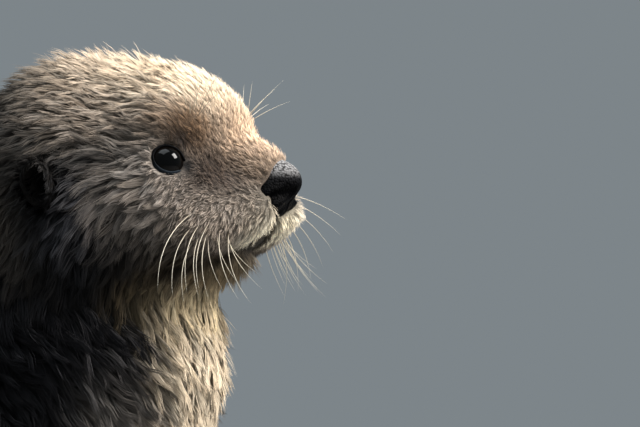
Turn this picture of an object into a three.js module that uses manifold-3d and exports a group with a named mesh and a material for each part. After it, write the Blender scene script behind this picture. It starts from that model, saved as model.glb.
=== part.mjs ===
// A sea otter pup about four months old, sitting with its forepaws down, its neck upright and its head
// level. Millimetres, +X ahead, +Y to the animal's left, +Z up, standing on Z = 0.
// The solids give the outline out to the tips of the coat.

import * as THREE from "three";
import { ParametricGeometry } from "three/addons/geometries/ParametricGeometry.js";
import { mergeVertices } from "three/addons/utils/BufferGeometryUtils.js";
import Module from "manifold-3d";

const wasm = await Module();
wasm.setup();

// ---------------------------------------------------------------- driving dimensions

const HEAD_HEIGHT = 262; // the middle of the skull above the floor
const GAP = 0.4; // between neighbouring solids
const FINENESS = 0.15; // how far a face may stray when small triangles are joined

// How finely the body is faceted: rows from the nose to the tail tip, and columns round it.
const BODY_ROWS = 53;
const NOSE_CAP_ROWS = 6;
const HEAD_ROWS = 25;
const TAIL_CAP_ROWS = 3;
const BODY_COLUMNS = 30;

const EYE = { at: [12.9, 34, 1.1], radius: 8 };
const EAR = { at: [-27, 52, -5], radii: [9.6, 8, 10.5], turn: 24 };
const EAR_HOLLOW = { at: [-23.5, 59.5, -6], radii: [6.8, 10, 7.4] };

// The mouth in side view: from in front of the lips, bending back to its corner, and down to the throat.
const MOUTH = { lips: [48, -19.5], bend: [36, -21], corner: [10, -31], throat: [2, -80] };

const NECK_PLANE = { normal: [-0.1, 0, 1], through: [-33, 0, 216] };
const CHEST_PLANE = { normal: [0.34, 0, 0.94], through: [-44, 0, 168] };
const TAIL_PLANE = { normal: [1, 0, 0.12], through: [-352, 0, 36] };

const ANKLE = [-322, 82]; // where the digits of a hind flipper meet
const FLIPPER = {
  heading: 9,
  spread: 19,
  inner: 14,
  outerDigit: 130,
  innerDigit: 98,
  web: 0.045,
  heelThickness: 20,
  toeThickness: 7,
  digits: 5,
};

const FORE_CLAW = { radius: 1.2, length: 7.5, sides: 8 };
const HIND_CLAW = { radius: 1.5, length: 8, sides: 8 };

// ---------------------------------------------------------------- forms, and how they flow together

// An ellipsoid: its middle, its half-sizes and its tilt nose-up in degrees.
const ball = (at, radii, tilt, blend) => {
  const c = Math.cos((tilt * Math.PI) / 180);
  const s = Math.sin((tilt * Math.PI) / 180);
  const distance = (x, y, z) => {
    const dx = x - at[0];
    const dz = z - at[2];
    const a = dx * c + dz * s;
    const b = y - at[1];
    const d = -dx * s + dz * c;
    const scaled = Math.hypot(a / radii[0], b / radii[1], d / radii[2]);
    const slope = Math.hypot(a / radii[0] ** 2, b / radii[1] ** 2, d / radii[2] ** 2) + 1e-9;
    return (scaled * (scaled - 1)) / slope;
  };
  return { distance, blend };
};

// A round-ended cone between two points, with a radius at each end and a stretch sideways.
const cone = (from, to, startRadius, endRadius, wide, blend) => {
  const ab = [to[0] - from[0], (to[1] - from[1]) / wide, to[2] - from[2]];
  const length2 = ab[0] ** 2 + ab[1] ** 2 + ab[2] ** 2;
  const distance = (x, y, z) => {
    const p = [x - from[0], (y - from[1]) / wide, z - from[2]];
    const along = (p[0] * ab[0] + p[1] * ab[1] + p[2] * ab[2]) / length2;
    const t = THREE.MathUtils.clamp(along, 0, 1);
    const off = Math.hypot(p[0] - ab[0] * t, p[1] - ab[1] * t, p[2] - ab[2] * t);
    return off - (startRadius + t * (endRadius - startRadius));
  };
  return { distance, blend };
};

const smoothMin = (a, b, blend) => {
  if (blend === 0) return Math.min(a, b);
  const h = THREE.MathUtils.clamp(0.5 + (0.5 * (b - a)) / blend, 0, 1);
  return b + (a - b) * h - blend * h * (1 - h);
};

// The forms of one region, each blended into those before it, alike on both sides.
const region = (forms, start = Infinity) => (x, y, z) => {
  let d = typeof start === "function" ? start(x, y, z) : start;
  for (const form of forms) {
    const own = form.distance(x, Math.abs(y), z);
    d = d === Infinity ? own : smoothMin(d, own, form.blend);
  }
  return d;
};

const raised = (field) => (x, y, z) => field(x, y, z - HEAD_HEIGHT);

// ---------------------------------------------------------------- the animal's forms

const HEAD_FORMS = [
  ball([-27, 0, 2], [50, 46, 41], -3, 0), // braincase
  ball([0.5, 0, 8], [30.5, 36, 29], 0, 12), // forehead
  cone([6, 0, -5], [30, 0, -5], 30, 12.5, 1.15, 11), // bridge of the muzzle
  ball([31.5, 0, -1.4], [15.5, 11, 10.4], -8, 9), // above the nose
  ball([26.2, 12.8, -14.6], [18.9, 15.2, 11.8], -6, 7), // whisker pad
  ball([15, 21, -21], [20, 15.5, 13], 10, 9), // corner of the lip
  ball([4, 26, -12], [24, 19, 20], 0, 12), // cheek under the eye
  ball([25.5, 0, -24.6], [13.5, 13, 9.4], 20, 4), // chin
  cone([12, 8, -23.5], [-22, 22, -26], 14.8, 30, 1, 10), // jaw
  ball([-22, 26, -12], [37, 26, 31], 0, 14), // cheek
  ball([7, 24, 15], [11.5, 11.5, 8.5], 0, 10), // brow
];

const BODY_FORMS = [
  cone([-33, 0, 236], [-38, 0, 200], 46, 52, 1, 20), // neck
  cone([-36, 0, 192], [-46, 0, 150], 57, 62, 1, 12), // ruff of the chest
  ball([-90, 0, 124], [78, 68, 72], 28, 26), // shoulders
  ball([-188, 0, 90], [124, 78, 80], 6, 30), // ribs and belly
  ball([-278, 0, 70], [92, 76, 73], -8, 30), // rump
  cone([-335, 0, 40], [-400, 0, 23], 40, 25, 1.15, 26), // root of the tail
  cone([-400, 0, 23], [-560, 0, 10], 23.5, 9.5, 1.45, 12), // tail
];

const NOSE_FORMS = [
  ball([40, 0, -4.5], [10.6, 10.5, 8.2], 0, 0),
  ball([39, 6.5, -10], [8, 6.5, 5.8], 0, 3), // wings of the nostrils
  cone([40, 0, -8], [41.4, 0, -13.4], 7, 3.8, 1, 3), // point between the lips
];

const FORELEG_FORMS = [
  cone([-60, 44, 126], [-70, 51, 82], 31, 25, 1, 0), // upper arm
  cone([-70, 51, 80], [-54, 52, 38], 23, 18, 1, 10), // forearm
  cone([-54, 52, 36], [-50, 52, 12], 17.5, 16, 1.08, 8), // wrist
];

const PAW_FORMS = [
  ball([-31, 52, 10], [29, 20.5, 14.5], 0, 0), // mitten
  cone([-50, 52, 12], [-40, 52, 14], 13, 12, 1.2, 8), // heel of the paw
];

const THIGH_FORMS = [
  ball([-280, 56, 60], [58, 41, 56], 10, 0), // haunch
  cone([-250, 70, 42], [-306, 82, 20], 28, 20, 1, 18), // shank
  ball([-317, 83, 13], [21, 17, 17], 0, 10), // ankle
];

const headField = raised(region(HEAD_FORMS));
const bodyField = region(BODY_FORMS, headField);
const noseField = raised(region(NOSE_FORMS));

const forelegField = region(FORELEG_FORMS);
const pawField = region(PAW_FORMS);
const thighField = region(THIGH_FORMS);

// ---------------------------------------------------------------- surfaces and solids

const MOST_STEPS = 60;
const CLOSE_ENOUGH = 0.004;

// Where a ray from a point inside leaves a field, that is, where the field reaches the given level.
const leave = (field, level, origin, direction, target) => {
  let t = 0;
  for (let step = 0; step < MOST_STEPS; step += 1) {
    target.copy(direction).multiplyScalar(t).add(origin);
    const d = field(target.x, target.y, target.z) - level;
    if (Math.abs(d) < CLOSE_ENOUGH) break;
    t = Math.max(0, t - 0.95 * d);
  }
  return target;
};

const solidOf = (geometry) => {
  geometry.deleteAttribute("normal");
  geometry.deleteAttribute("uv");
  const merged = mergeVertices(geometry, 1e-3);
  const index = merged.index.array;
  const corners = [];
  for (let i = 0; i < index.length; i += 3) {
    const [a, b, c] = index.slice(i, i + 3);
    if (a !== b && b !== c && c !== a) corners.push(a, b, c);
  }
  const mesh = new wasm.Mesh({
    numProp: 3,
    vertProperties: merged.attributes.position.array,
    triVerts: new Uint32Array(corners),
  });
  return new wasm.Manifold(mesh);
};

const geometryOf = (solid) => {
  const mesh = solid.getMesh();
  const geometry = new THREE.BufferGeometry();
  geometry.setAttribute("position", new THREE.BufferAttribute(new Float32Array(mesh.vertProperties), 3));
  geometry.setIndex(new THREE.BufferAttribute(new Uint32Array(mesh.triVerts), 1));
  return geometry;
};

// The spine of sections: each is a plane across the body, given by a point (x, z) in it and by the
// angle of its upward direction from +X. Sections fan about the throat, and then about the withers.
const section = (x, z, angle) => new THREE.Vector3(x, z, angle);
const fan = (pivot, reach, angles) =>
  angles.map((angle, i) => {
    const a = (angle * Math.PI) / 180;
    const r = reach[i];
    return section(pivot[0] + r * Math.cos(a), pivot[1] + r * Math.sin(a), angle);
  });

const THROAT = [26, HEAD_HEIGHT - 64];
const WITHERS = [-165, HEAD_HEIGHT - 58];
const HEAD_SECTIONS = [
  section(38, HEAD_HEIGHT - 9, 90),
  section(31, HEAD_HEIGHT - 10, 90),
  ...fan(THROAT, [54, 54, 54, 55, 57, 60, 62], [92, 105, 120, 135, 150, 165, 178]),
];
const TRUNK_SECTIONS = [
  ...fan(WITHERS, [-128, -127, -125, -120, -116, -112, -112], [174, 160, 145, 130, 115, 102, 95]),
  section(-200, 88, 93),
  section(-250, 80, 92),
  section(-300, 62, 97),
  section(-345, 38, 98),
  section(-400, 22, 92),
  section(-470, 17, 90),
  section(-550, 12, 90),
];

const SPINE = new THREE.CatmullRomCurve3([...HEAD_SECTIONS, ...TRUNK_SECTIONS], false, "catmullrom");

// How far along the spine a row lies, 0 to 1, and how far its rays swing toward the nose or the tail.
const rowOf = (row) => {
  const last = BODY_ROWS - TAIL_CAP_ROWS;
  const headPart = (HEAD_SECTIONS.length - 1) / (HEAD_SECTIONS.length + TRUNK_SECTIONS.length - 1);
  if (row < NOSE_CAP_ROWS) {
    return { along: 0, swing: (Math.PI / 2) * (1 - row / NOSE_CAP_ROWS) };
  }
  if (row > last) {
    return { along: 1, swing: (-Math.PI / 2) * ((row - last) / TAIL_CAP_ROWS) };
  }
  const neckRow = NOSE_CAP_ROWS + HEAD_ROWS;
  if (row < neckRow) {
    return { along: (headPart * (row - NOSE_CAP_ROWS)) / HEAD_ROWS, swing: 0 };
  }
  return { along: headPart + ((1 - headPart) * (row - neckRow)) / (last - neckRow), swing: 0 };
};

const bodySurface = (u, v, target) => {
  const { along, swing } = rowOf(u * BODY_ROWS);
  const at = SPINE.getPoint(along);
  const angle = (at.z * Math.PI) / 180;
  const round = v * 2 * Math.PI;
  const up = new THREE.Vector3(Math.cos(angle), 0, Math.sin(angle));
  const ahead = new THREE.Vector3(Math.sin(angle), 0, -Math.cos(angle));
  const right = new THREE.Vector3(0, -1, 0);
  const ring = up.multiplyScalar(Math.cos(round)).addScaledVector(right, Math.sin(round));
  const direction = ring.multiplyScalar(Math.cos(swing)).addScaledVector(ahead, Math.sin(swing));
  leave(bodyField, 0, new THREE.Vector3(at.x, 0, at.y), direction, target);
};

// A solid of a limb or a small part: rays leave a straight axis, and swing round its two ends.
const raySolid = (field, from, to, rows, columns, level = 0) => {
  const start = new THREE.Vector3(...from);
  const end = new THREE.Vector3(...to);
  const axis = end.clone().sub(start).normalize();
  const side = new THREE.Vector3(0, 1, 0).cross(axis).normalize();
  const other = side.clone().cross(axis);
  const surface = (u, v, target) => {
    const turn = v * 2 * Math.PI;
    const bend = Math.min(u * 4 - 1, 0) + Math.max(u * 4 - 3, 0);
    const along = THREE.MathUtils.clamp(u * 2 - 0.5, 0, 1);
    const swing = (bend * Math.PI) / 2;
    const ring = side.clone().multiplyScalar(Math.cos(turn)).addScaledVector(other, Math.sin(turn));
    const direction = ring.multiplyScalar(Math.cos(swing)).addScaledVector(axis, Math.sin(swing));
    leave(field, level, start.clone().lerp(end, along), direction, target);
  };
  return solidOf(new ParametricGeometry(surface, rows, columns));
};

const ellipsoid = (part, across, down, grow = 0) => {
  const geometry = new THREE.SphereGeometry(1, across, down);
  geometry.scale(...part.radii.map((r) => r + grow));
  geometry.rotateZ(((part.turn ?? 0) * Math.PI) / 180);
  geometry.translate(part.at[0], part.at[1], part.at[2] + HEAD_HEIGHT);
  return solidOf(geometry);
};

const mirrored = (solid) => solid.mirror([0, 1, 0]);
const onFloor = (solid) => solid.trimByPlane([0, 0, 1], 0);

// The parts of a solid ahead of a cutting plane and behind it, half a gap off on each side.
const partAt = (solid, plane) => {
  const normal = new THREE.Vector3(...plane.normal).normalize();
  const offset = normal.dot(new THREE.Vector3(...plane.through));
  const ahead = solid.trimByPlane(normal.toArray(), offset + GAP / 2);
  const behind = solid.trimByPlane(normal.clone().negate().toArray(), -offset + GAP / 2);
  return [ahead, behind];
};

// ---------------------------------------------------------------- sub-parts

const eyeball = (grow = 0) => {
  const r = EYE.radius;
  return ellipsoid({ at: EYE.at, radii: [r, r, r] }, 12, 8, grow);
};

const nosePad = (level = 0) => {
  const from = [39.5, 0, HEAD_HEIGHT - 8];
  const to = [40.5, 0, HEAD_HEIGHT - 6];
  return raySolid(noseField, from, to, 14, 16, level);
};

const foreleg = (level = 0) => onFloor(raySolid(forelegField, [-61, 47, 122], [-53, 52, 16], 12, 12, level));

const paw = (level = 0) => onFloor(raySolid(pawField, [-44, 52, 10], [-20, 52, 10], 10, 10, level));

const thigh = (level = 0) => onFloor(raySolid(thighField, [-270, 62, 52], [-298, 68, 38], 12, 14, level));

// How far a digit or the web beside it reaches, across the flipper from its inner edge (0) to outer (1).
const flipperReach = (across) => {
  const digit = THREE.MathUtils.lerp(FLIPPER.innerDigit, FLIPPER.outerDigit, across);
  const between = 0.5 - 0.5 * Math.cos(2 * Math.PI * across * (FLIPPER.digits - 1));
  return digit * (1 - FLIPPER.web * between);
};

// The way a digit points, in degrees from straight ahead: the digits spread as they leave the ankle.
const flipperHeading = (across, out) =>
  FLIPPER.heading + FLIPPER.spread * (2 * across - 1) * (0.8 + 0.2 * out);

const alongFlipper = (across, out) => {
  const angle = (flipperHeading(across, out) * Math.PI) / 180;
  const reach = THREE.MathUtils.lerp(FLIPPER.inner, flipperReach(across), out);
  return [ANKLE[0] + reach * Math.cos(angle), ANKLE[1] + reach * Math.sin(angle)];
};

const flipperThickness = (across, out) => {
  const ridge = 0.86 + 0.14 * Math.cos(2 * Math.PI * across * (FLIPPER.digits - 1));
  const sides = Math.sqrt(1 - Math.abs(2 * across - 1) ** 5);
  const ends = Math.sqrt(1 - Math.abs(2 * out - 1) ** 9);
  const full = THREE.MathUtils.lerp(FLIPPER.heelThickness, FLIPPER.toeThickness, Math.sqrt(out));
  return full * ridge * sides * ends;
};

// Its top from the inner edge to the outer, and then its sole back again, flat on the floor.
const flipperSurface = (u, v, target) => {
  const top = v <= 0.5;
  const across = top ? 2 * v : 2 - 2 * v;
  const [x, y] = alongFlipper(across, u);
  target.set(x, y, top ? flipperThickness(across, u) : 0);
};

const flipper = () => solidOf(new ParametricGeometry(flipperSurface, 9, 32));

// The space of the lower jaw, drawn in side view and extruded across the head.
const jawSpace = (grow = 0) => {
  const mouth = new THREE.Shape();
  mouth.moveTo(MOUTH.lips[0] + 20, MOUTH.lips[1] + grow);
  mouth.lineTo(MOUTH.lips[0], MOUTH.lips[1] + grow);
  mouth.quadraticCurveTo(
    MOUTH.bend[0] - grow,
    MOUTH.bend[1] + grow,
    MOUTH.corner[0] - grow,
    MOUTH.corner[1] + grow,
  );
  mouth.lineTo(MOUTH.throat[0] - grow, MOUTH.throat[1]);
  mouth.lineTo(MOUTH.lips[0] + 20, MOUTH.throat[1]);
  const width = 120;
  const geometry = new THREE.ExtrudeGeometry(mouth, { depth: width, bevelEnabled: false, curveSegments: 6 });
  geometry.rotateX(Math.PI / 2);
  geometry.translate(0, width / 2, HEAD_HEIGHT);
  return solidOf(geometry);
};

// A claw, its root a little inside the toe, pointing ahead at the given heading and down by the given angle.
const claw = (size, root, heading, down, grow = 0) => {
  const geometry = new THREE.ConeGeometry(size.radius + grow, size.length + 2 * grow, size.sides);
  geometry.rotateZ(-Math.PI / 2);
  geometry.translate(size.length / 2 - grow, 0, 0);
  geometry.rotateY((down * Math.PI) / 180);
  geometry.rotateZ((heading * Math.PI) / 180);
  geometry.translate(...root);
  return solidOf(geometry);
};

const foreClaws = () =>
  [-2, -1, 0, 1, 2].map((i) => {
    const root = [-7 - 1.6 * i * i, 52 + 6 * i, 7.5];
    return claw(FORE_CLAW, root, 7 * i, 18);
  });

const hindClaws = (grow = 0) =>
  [0, 1, 2, 3, 4].map((i) => {
    const across = THREE.MathUtils.clamp(i / (FLIPPER.digits - 1), 0.03, 0.97);
    const [x, y] = alongFlipper(across, 0.96);
    return claw(HIND_CLAW, [x, y, 3.2], flipperHeading(across, 1), 8, grow);
  });

// ---------------------------------------------------------------- materials

const material = (color, roughness) => new THREE.MeshStandardMaterial({ color, roughness, metalness: 0 });
const CROWN_FUR = material(0xd2b896, 0.95);
const CHEST_FUR = material(0xc2b18c, 0.95);
const BACK_FUR = material(0x6e5a45, 0.95);
const FOOT_FUR = material(0x3a2f27, 0.85);
const NOSE_SKIN = material(0x121213, 0.45);
const EYE_GLASS = material(0x0b0c0e, 0.08);
const EAR_SKIN = material(0x8c6c54, 0.8);
const CLAW_HORN = material(0x2b2724, 0.4);

// ---------------------------------------------------------------- the animal

const otter = new THREE.Group();

const add = (name, solid, look) => {
  const mesh = new THREE.Mesh(geometryOf(solid.simplify(FINENESS)), look);
  mesh.name = name;
  otter.add(mesh);
};

const addPair = (name, solid, look) => {
  add(`${name}_left`, solid, look);
  add(`${name}_right`, mirrored(solid), look);
};

const both = (solid, part) => solid.subtract(part).subtract(mirrored(part));

const wholeBody = onFloor(solidOf(new ParametricGeometry(bodySurface, BODY_ROWS, BODY_COLUMNS)));
const [wholeHead, belowHead] = partAt(wholeBody, NECK_PLANE);
const [neck, behindNeck] = partAt(belowHead, CHEST_PLANE);
const [wholeTrunk, tail] = partAt(behindNeck, TAIL_PLANE);

const ear = ellipsoid(EAR, 10, 7).subtract(ellipsoid(EAR_HOLLOW, 9, 6));
const sockets = both(both(wholeHead, eyeball(GAP)), ellipsoid(EAR, 10, 7, GAP)).subtract(nosePad(GAP));
add("head", sockets.subtract(jawSpace(GAP)), CROWN_FUR);
add("lower_jaw", sockets.intersect(jawSpace()), CHEST_FUR);
add("neck", neck, CHEST_FUR);
add("trunk", both(both(wholeTrunk, foreleg(GAP)), thigh(GAP)), BACK_FUR);
add("tail", tail, BACK_FUR);
add("nose_pad", nosePad(), NOSE_SKIN);
addPair("eye", eyeball(), EYE_GLASS);
addPair("ear", ear, EAR_SKIN);
addPair("foreleg", foreleg(), BACK_FUR);
addPair("forepaw", paw().subtract(foreleg(GAP)), FOOT_FUR);
addPair("thigh", thigh(), BACK_FUR);

const hindFlipper = hindClaws(GAP).reduce(
  (solid, hole) => solid.subtract(hole),
  flipper().subtract(thigh(GAP)),
);
addPair("hind_flipper", hindFlipper, FOOT_FUR);

foreClaws().forEach((solid, i) => addPair(`fore_claw_${i + 1}`, solid.subtract(paw(GAP)), CLAW_HORN));
hindClaws().forEach((solid, i) => addPair(`hind_claw_${i + 1}`, solid, CLAW_HORN));

// The origin lies on the floor under the middle of the animal's length.
const box = new THREE.Box3().setFromObject(otter);
otter.position.x = -(box.min.x + box.max.x) / 2;

const part = new THREE.Group();
part.add(otter);

export default part;
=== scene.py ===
# %% [markdown]
# # A young sea otter: skin, eyes, nose and a coat of fur
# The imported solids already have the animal's size and outline, out to the tips of the coat. Here each solid
# of flesh gives way to one fine skin that lies inside it by the depth of the fur, and a coat of small closed
# locks of hair grows from that skin. Eyes, eyelids, nose, ears, claws and whiskers are pieces of their own.
# Everything is worked out in millimetres in the animal's own frame and put into metres at the end.

# %% The frame
import bpy
import numpy as np
from mathutils import Matrix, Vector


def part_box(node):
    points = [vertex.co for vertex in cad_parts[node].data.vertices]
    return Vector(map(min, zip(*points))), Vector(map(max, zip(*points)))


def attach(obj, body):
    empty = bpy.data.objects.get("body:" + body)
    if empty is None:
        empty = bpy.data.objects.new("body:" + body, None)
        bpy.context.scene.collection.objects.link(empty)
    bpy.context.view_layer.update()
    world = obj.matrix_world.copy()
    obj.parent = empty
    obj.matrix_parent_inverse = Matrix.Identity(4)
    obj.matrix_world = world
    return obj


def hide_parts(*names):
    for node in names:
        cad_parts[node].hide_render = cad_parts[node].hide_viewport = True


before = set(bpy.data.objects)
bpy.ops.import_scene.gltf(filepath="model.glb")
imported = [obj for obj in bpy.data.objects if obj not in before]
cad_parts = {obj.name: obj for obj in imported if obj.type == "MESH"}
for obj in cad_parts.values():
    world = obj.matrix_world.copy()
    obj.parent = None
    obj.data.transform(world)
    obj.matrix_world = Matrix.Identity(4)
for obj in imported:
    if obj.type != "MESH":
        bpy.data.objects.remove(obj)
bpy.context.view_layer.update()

eye_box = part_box("eye_left")
EYE = np.array([12.9, 34.0, 1.1])
SHIFT = np.array([500 * (eye_box[0][0] + eye_box[1][0]) - EYE[0], 0, 0])
HEAD = np.array([0.0, 0.0, 262.0])
MM = 0.001
SIDES = ((1, "left"), (-1, "right"))
print("the animal's own frame is moved ahead by", SHIFT.round(2), "mm; nodes:", len(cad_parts))

# %% [markdown]
# ## Forms that flow into each other
# A living body has no edges where a cheek meets a jaw. It could be sculpted by hand, or made of spheres and
# smoothed. Here every swelling is an ellipsoid or a round-ended cone with a formula for how far a point is
# from it, and a smooth minimum melts each form into those before it. The solids were made from the same
# forms, so the skin follows them exactly.

# %% Distance formulas
def unit(a):
    """Each vector divided by its own length."""
    return a / (np.linalg.norm(a, axis=-1, keepdims=True) + 1e-12)


def dot(a, b):
    """Sum of a times b over x, y and z, kept as a column."""
    return np.sum(a * b, -1, keepdims=True)


def ease(start, end, x):
    """0 before start, 1 past end, and 3t squared less 2t cubed between them."""
    t = np.clip((x - start) / (end - start), 0, 1)
    return t * t * (3 - 2 * t)


def mix(a, b, t):
    """a plus t times the way from a to b."""
    return a + (b - a) * t


def round_ring(columns):
    """The angle of each column of a closed ring: its number, of so many, times a whole turn."""
    return np.arange(columns) * 2 * np.pi / columns


def ring_ways(a, b, columns):
    """Ways out from the middle of a ring in the plane of a and b: a cos v + b sin v for every column."""
    v = round_ring(columns)[:, None]
    return a * np.cos(v) + b * np.sin(v)


def ball(at, radii, tilt=0, blend=0):
    """Ellipsoid tilted nose-up. With q the point over the radii: |q| (|q| - 1) over |q over the radii|."""
    c, s = np.cos(np.radians(tilt)), np.sin(np.radians(tilt))
    def distance(x, y, z):
        dx, dz = x - at[0], z - at[2]
        a, b, d = (dx * c + dz * s) / radii[0], (y - at[1]) / radii[1], (dz * c - dx * s) / radii[2]
        size = np.sqrt(a * a + b * b + d * d)
        slope = np.sqrt((a / radii[0]) ** 2 + (b / radii[1]) ** 2 + (d / radii[2]) ** 2) + 1e-9
        return size * (size - 1) / slope
    return distance, blend


def cone(start, end, start_radius, end_radius, wide=1, blend=0):
    """Distance to the nearest place on the axis, less the radius there, with y narrowed by wide first."""
    ab = np.array([end[0] - start[0], (end[1] - start[1]) / wide, end[2] - start[2]])
    def distance(x, y, z):
        px, py, pz = x - start[0], (y - start[1]) / wide, z - start[2]
        t = np.clip((px * ab[0] + py * ab[1] + pz * ab[2]) / (ab @ ab), 0, 1)
        away = np.sqrt((px - ab[0] * t) ** 2 + (py - ab[1] * t) ** 2 + (pz - ab[2] * t) ** 2)
        return away - (start_radius + t * (end_radius - start_radius))
    return distance, blend


def smooth_min(a, b, blend):
    """The lower of a and b, rounded off by at most a quarter of blend where they are alike."""
    if blend == 0:
        return np.minimum(a, b)
    h = np.clip(0.5 + 0.5 * (b - a) / blend, 0, 1)
    return b + (a - b) * h - blend * h * (1 - h)


def region(forms, start=None, lift=0):
    """The forms blended in turn, alike on both sides because y loses its sign."""
    def field(p):
        x, y, z = p[..., 0], np.abs(p[..., 1]), p[..., 2] - lift
        d = None if start is None else start(p)
        for distance, blend in forms:
            own = distance(x, y, z)
            d = own if d is None else smooth_min(d, own, blend)
        return d
    return field


print("a ball of 10 mm is", ball([0, 0, 0], [10, 10, 10])[0](15.0, 0.0, 0.0).round(2), "mm from a point 15 mm off")

# %% The animal's forms
HEAD_FORMS = [
    ball([-27, 0, 2], [50, 46, 41], -3),  # braincase
    ball([0.5, 0, 8], [30.5, 36, 29], 0, 12),  # forehead
    cone([6, 0, -5], [30, 0, -5], 30, 12.5, 1.15, 11),  # bridge of the muzzle
    ball([31.5, 0, -1.4], [15.5, 11, 10.4], -8, 9),  # above the nose
    ball([26.2, 12.8, -14.6], [18.9, 15.2, 11.8], -6, 7),  # whisker pad
    ball([15, 21, -21], [20, 15.5, 13], 10, 9),  # corner of the lip
    ball([4, 26, -12], [24, 19, 20], 0, 12),  # cheek under the eye
    ball([25.5, 0, -24.6], [13.5, 13, 9.4], 20, 4),  # chin
    cone([12, 8, -23.5], [-22, 22, -26], 14.8, 30, 1, 10),  # jaw
    ball([-22, 26, -12], [37, 26, 31], 0, 14),  # cheek
    ball([7, 24, 15], [11.5, 11.5, 8.5], 0, 10),  # brow
]
BODY_FORMS = [
    cone([-33, 0, 236], [-38, 0, 200], 46, 52, 1, 20),  # neck
    cone([-36, 0, 192], [-46, 0, 150], 57, 62, 1, 12),  # ruff of the chest
    ball([-90, 0, 124], [78, 68, 72], 28, 26),  # shoulders
    ball([-188, 0, 90], [124, 78, 80], 6, 30),  # ribs and belly
    ball([-278, 0, 70], [92, 76, 73], -8, 30),  # rump
    cone([-335, 0, 40], [-400, 0, 23], 40, 25, 1.15, 26),  # root of the tail
    cone([-400, 0, 23], [-560, 0, 10], 23.5, 9.5, 1.45, 12),  # tail
]
NOSE_FORMS = [
    ball([40, 0, -4.5], [10.6, 8.8, 8.3]),
    ball([39, 6.5, -10], [8, 6.5, 5.8], 0, 3),  # wings of the nostrils
    cone([40, 0, -8], [41.4, 0, -13.4], 7, 3.8, 1, 3),  # point between the lips
]
FORELEG_FORMS = [
    cone([-60, 44, 126], [-70, 51, 82], 31, 25),  # upper arm
    cone([-70, 51, 80], [-54, 52, 38], 23, 18, 1, 10),  # forearm
    cone([-54, 52, 36], [-50, 52, 12], 17.5, 16, 1.08, 8),  # wrist
]
PAW_FORMS = [
    ball([-31, 52, 10], [29, 20.5, 14.5]),  # mitten
    cone([-50, 52, 12], [-40, 52, 14], 13, 12, 1.2, 8),  # heel of the paw
]
THIGH_FORMS = [
    ball([-280, 56, 60], [58, 41, 56], 10),  # haunch
    cone([-250, 70, 42], [-306, 82, 20], 28, 20, 1, 18),  # shank
    ball([-317, 83, 13], [21, 17, 17], 0, 10),  # ankle
]
head_field = region(HEAD_FORMS, lift=HEAD[2])
body_field = region(BODY_FORMS, head_field)
nose_field = region(NOSE_FORMS, lift=HEAD[2])
foreleg_field, paw_field, thigh_field = region(FORELEG_FORMS), region(PAW_FORMS), region(THIGH_FORMS)
print("forms:", sum(map(len, (HEAD_FORMS, BODY_FORMS, NOSE_FORMS, FORELEG_FORMS, PAW_FORMS, THIGH_FORMS))))

# %% [markdown]
# ## How deep the skin lies
# The solids reach to the tips of the hair. The skin under them is deeper where the coat is long, as on the
# neck, and almost at the surface on the muzzle and the feet. The same depth function also presses in the eye
# sockets, the line of the mouth, the cleft under the nose and the ear openings, which are folds of the skin.

# %% Depth of the coat over the skin
EYE_OUT = unit(np.array([0.60, 0.71, 0.38]))
EYE_SURFACE = EYE + 5.8 * EYE_OUT
EYE_RADIUS = 8.0
EYE_AHEAD = unit(np.array([0.80, -0.52, -0.30]))  # from the middle of the eye to its front corner
EYE_SEAT = EYE - 0.8 * EYE_OUT  # where the ball itself sits, a little deeper than the solid shows
EAR = np.array([-27.0, 52.0, -5.0])
MOUTH = np.array([[47, -24], [37, -27], [8, -34]])  # x and z: in front of the lips, bend, corner


def from_head(p):
    """x, distance from the middle plane, and z, measured from the middle of the skull."""
    q = p - HEAD
    return q[..., 0], np.abs(q[..., 1]), q[..., 2]


def away_from(p, place):
    """Distance to a place given from the middle of the skull, or to its mirror image."""
    x, y, z = from_head(p)
    return np.sqrt((x - place[0]) ** 2 + (y - place[1]) ** 2 + (z - place[2]) ** 2)


def near(p, place, reach, sharpness):
    """1 at a place given from the middle of the skull, and exp(-(distance / reach)^sharpness) round it."""
    return np.exp(-((away_from(p, place) / reach) ** sharpness))


def mouth_distance(p):
    """Side-view distance to the curve of the mouth: the least over (1-t)^2 a + 2t(1-t) b + t^2 c."""
    x, _, z = from_head(p)
    nearest = np.full(x.shape, 1e9)
    for t in np.linspace(0, 1, 40):
        a, b, c = (1 - t) ** 2, 2 * t * (1 - t), t * t
        at = a * MOUTH[0] + b * MOUTH[1] + c * MOUTH[2]
        nearest = np.minimum(nearest, (x - at[0]) ** 2 + (z - at[1]) ** 2)
    return np.sqrt(nearest)


def mouth_line(p, half):
    """1 on the line of the mouth, exp(-(distance / half)^2) off it, and 0 behind its corner."""
    return np.exp(-((mouth_distance(p) / half) ** 2)) * ease(6, 14, from_head(p)[0])


def beside_nose(p):
    """1 where the upper lip meets the side of the nose pad, where the hair stands up against it."""
    return near(p, [43.5, 13.5, -13], 5.2, 4)


def coat_depth(p):
    """From 1.3 mm on the muzzle to 5 on the crown, 8.5 on the neck, 7 on the trunk and 4.5 on the tail; 0.6
    round the eyes, and 0.8 less than elsewhere beside the nose."""
    x, _, z = from_head(p)
    depth = mix(5.0, 1.3, ease(-14, 22, x))
    depth = mix(depth, 8.5, ease(-26, -66, z))
    depth = mix(depth, 7.0, ease(-60, -160, x))
    depth = mix(depth, 4.5, ease(-330, -420, x))
    return mix(depth, 0.6, near(p, EYE_SURFACE, 10.5, 4)) - 0.8 * beside_nose(p)


def cleft(x, y, z, wider=0.0):
    """1 between the two halves of the upper lip, which part under the nose like an inverted V, 0 beside it."""
    half = mix(2.8, 6.2, np.clip((-17 - z) / 9, 0, 1)) + wider
    return ease(half + 1.0, half - 1.0, y) * ease(28, 33, x) * ease(-15.0, -18.0, z) * ease(-31.5, -28.5, z)


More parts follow.
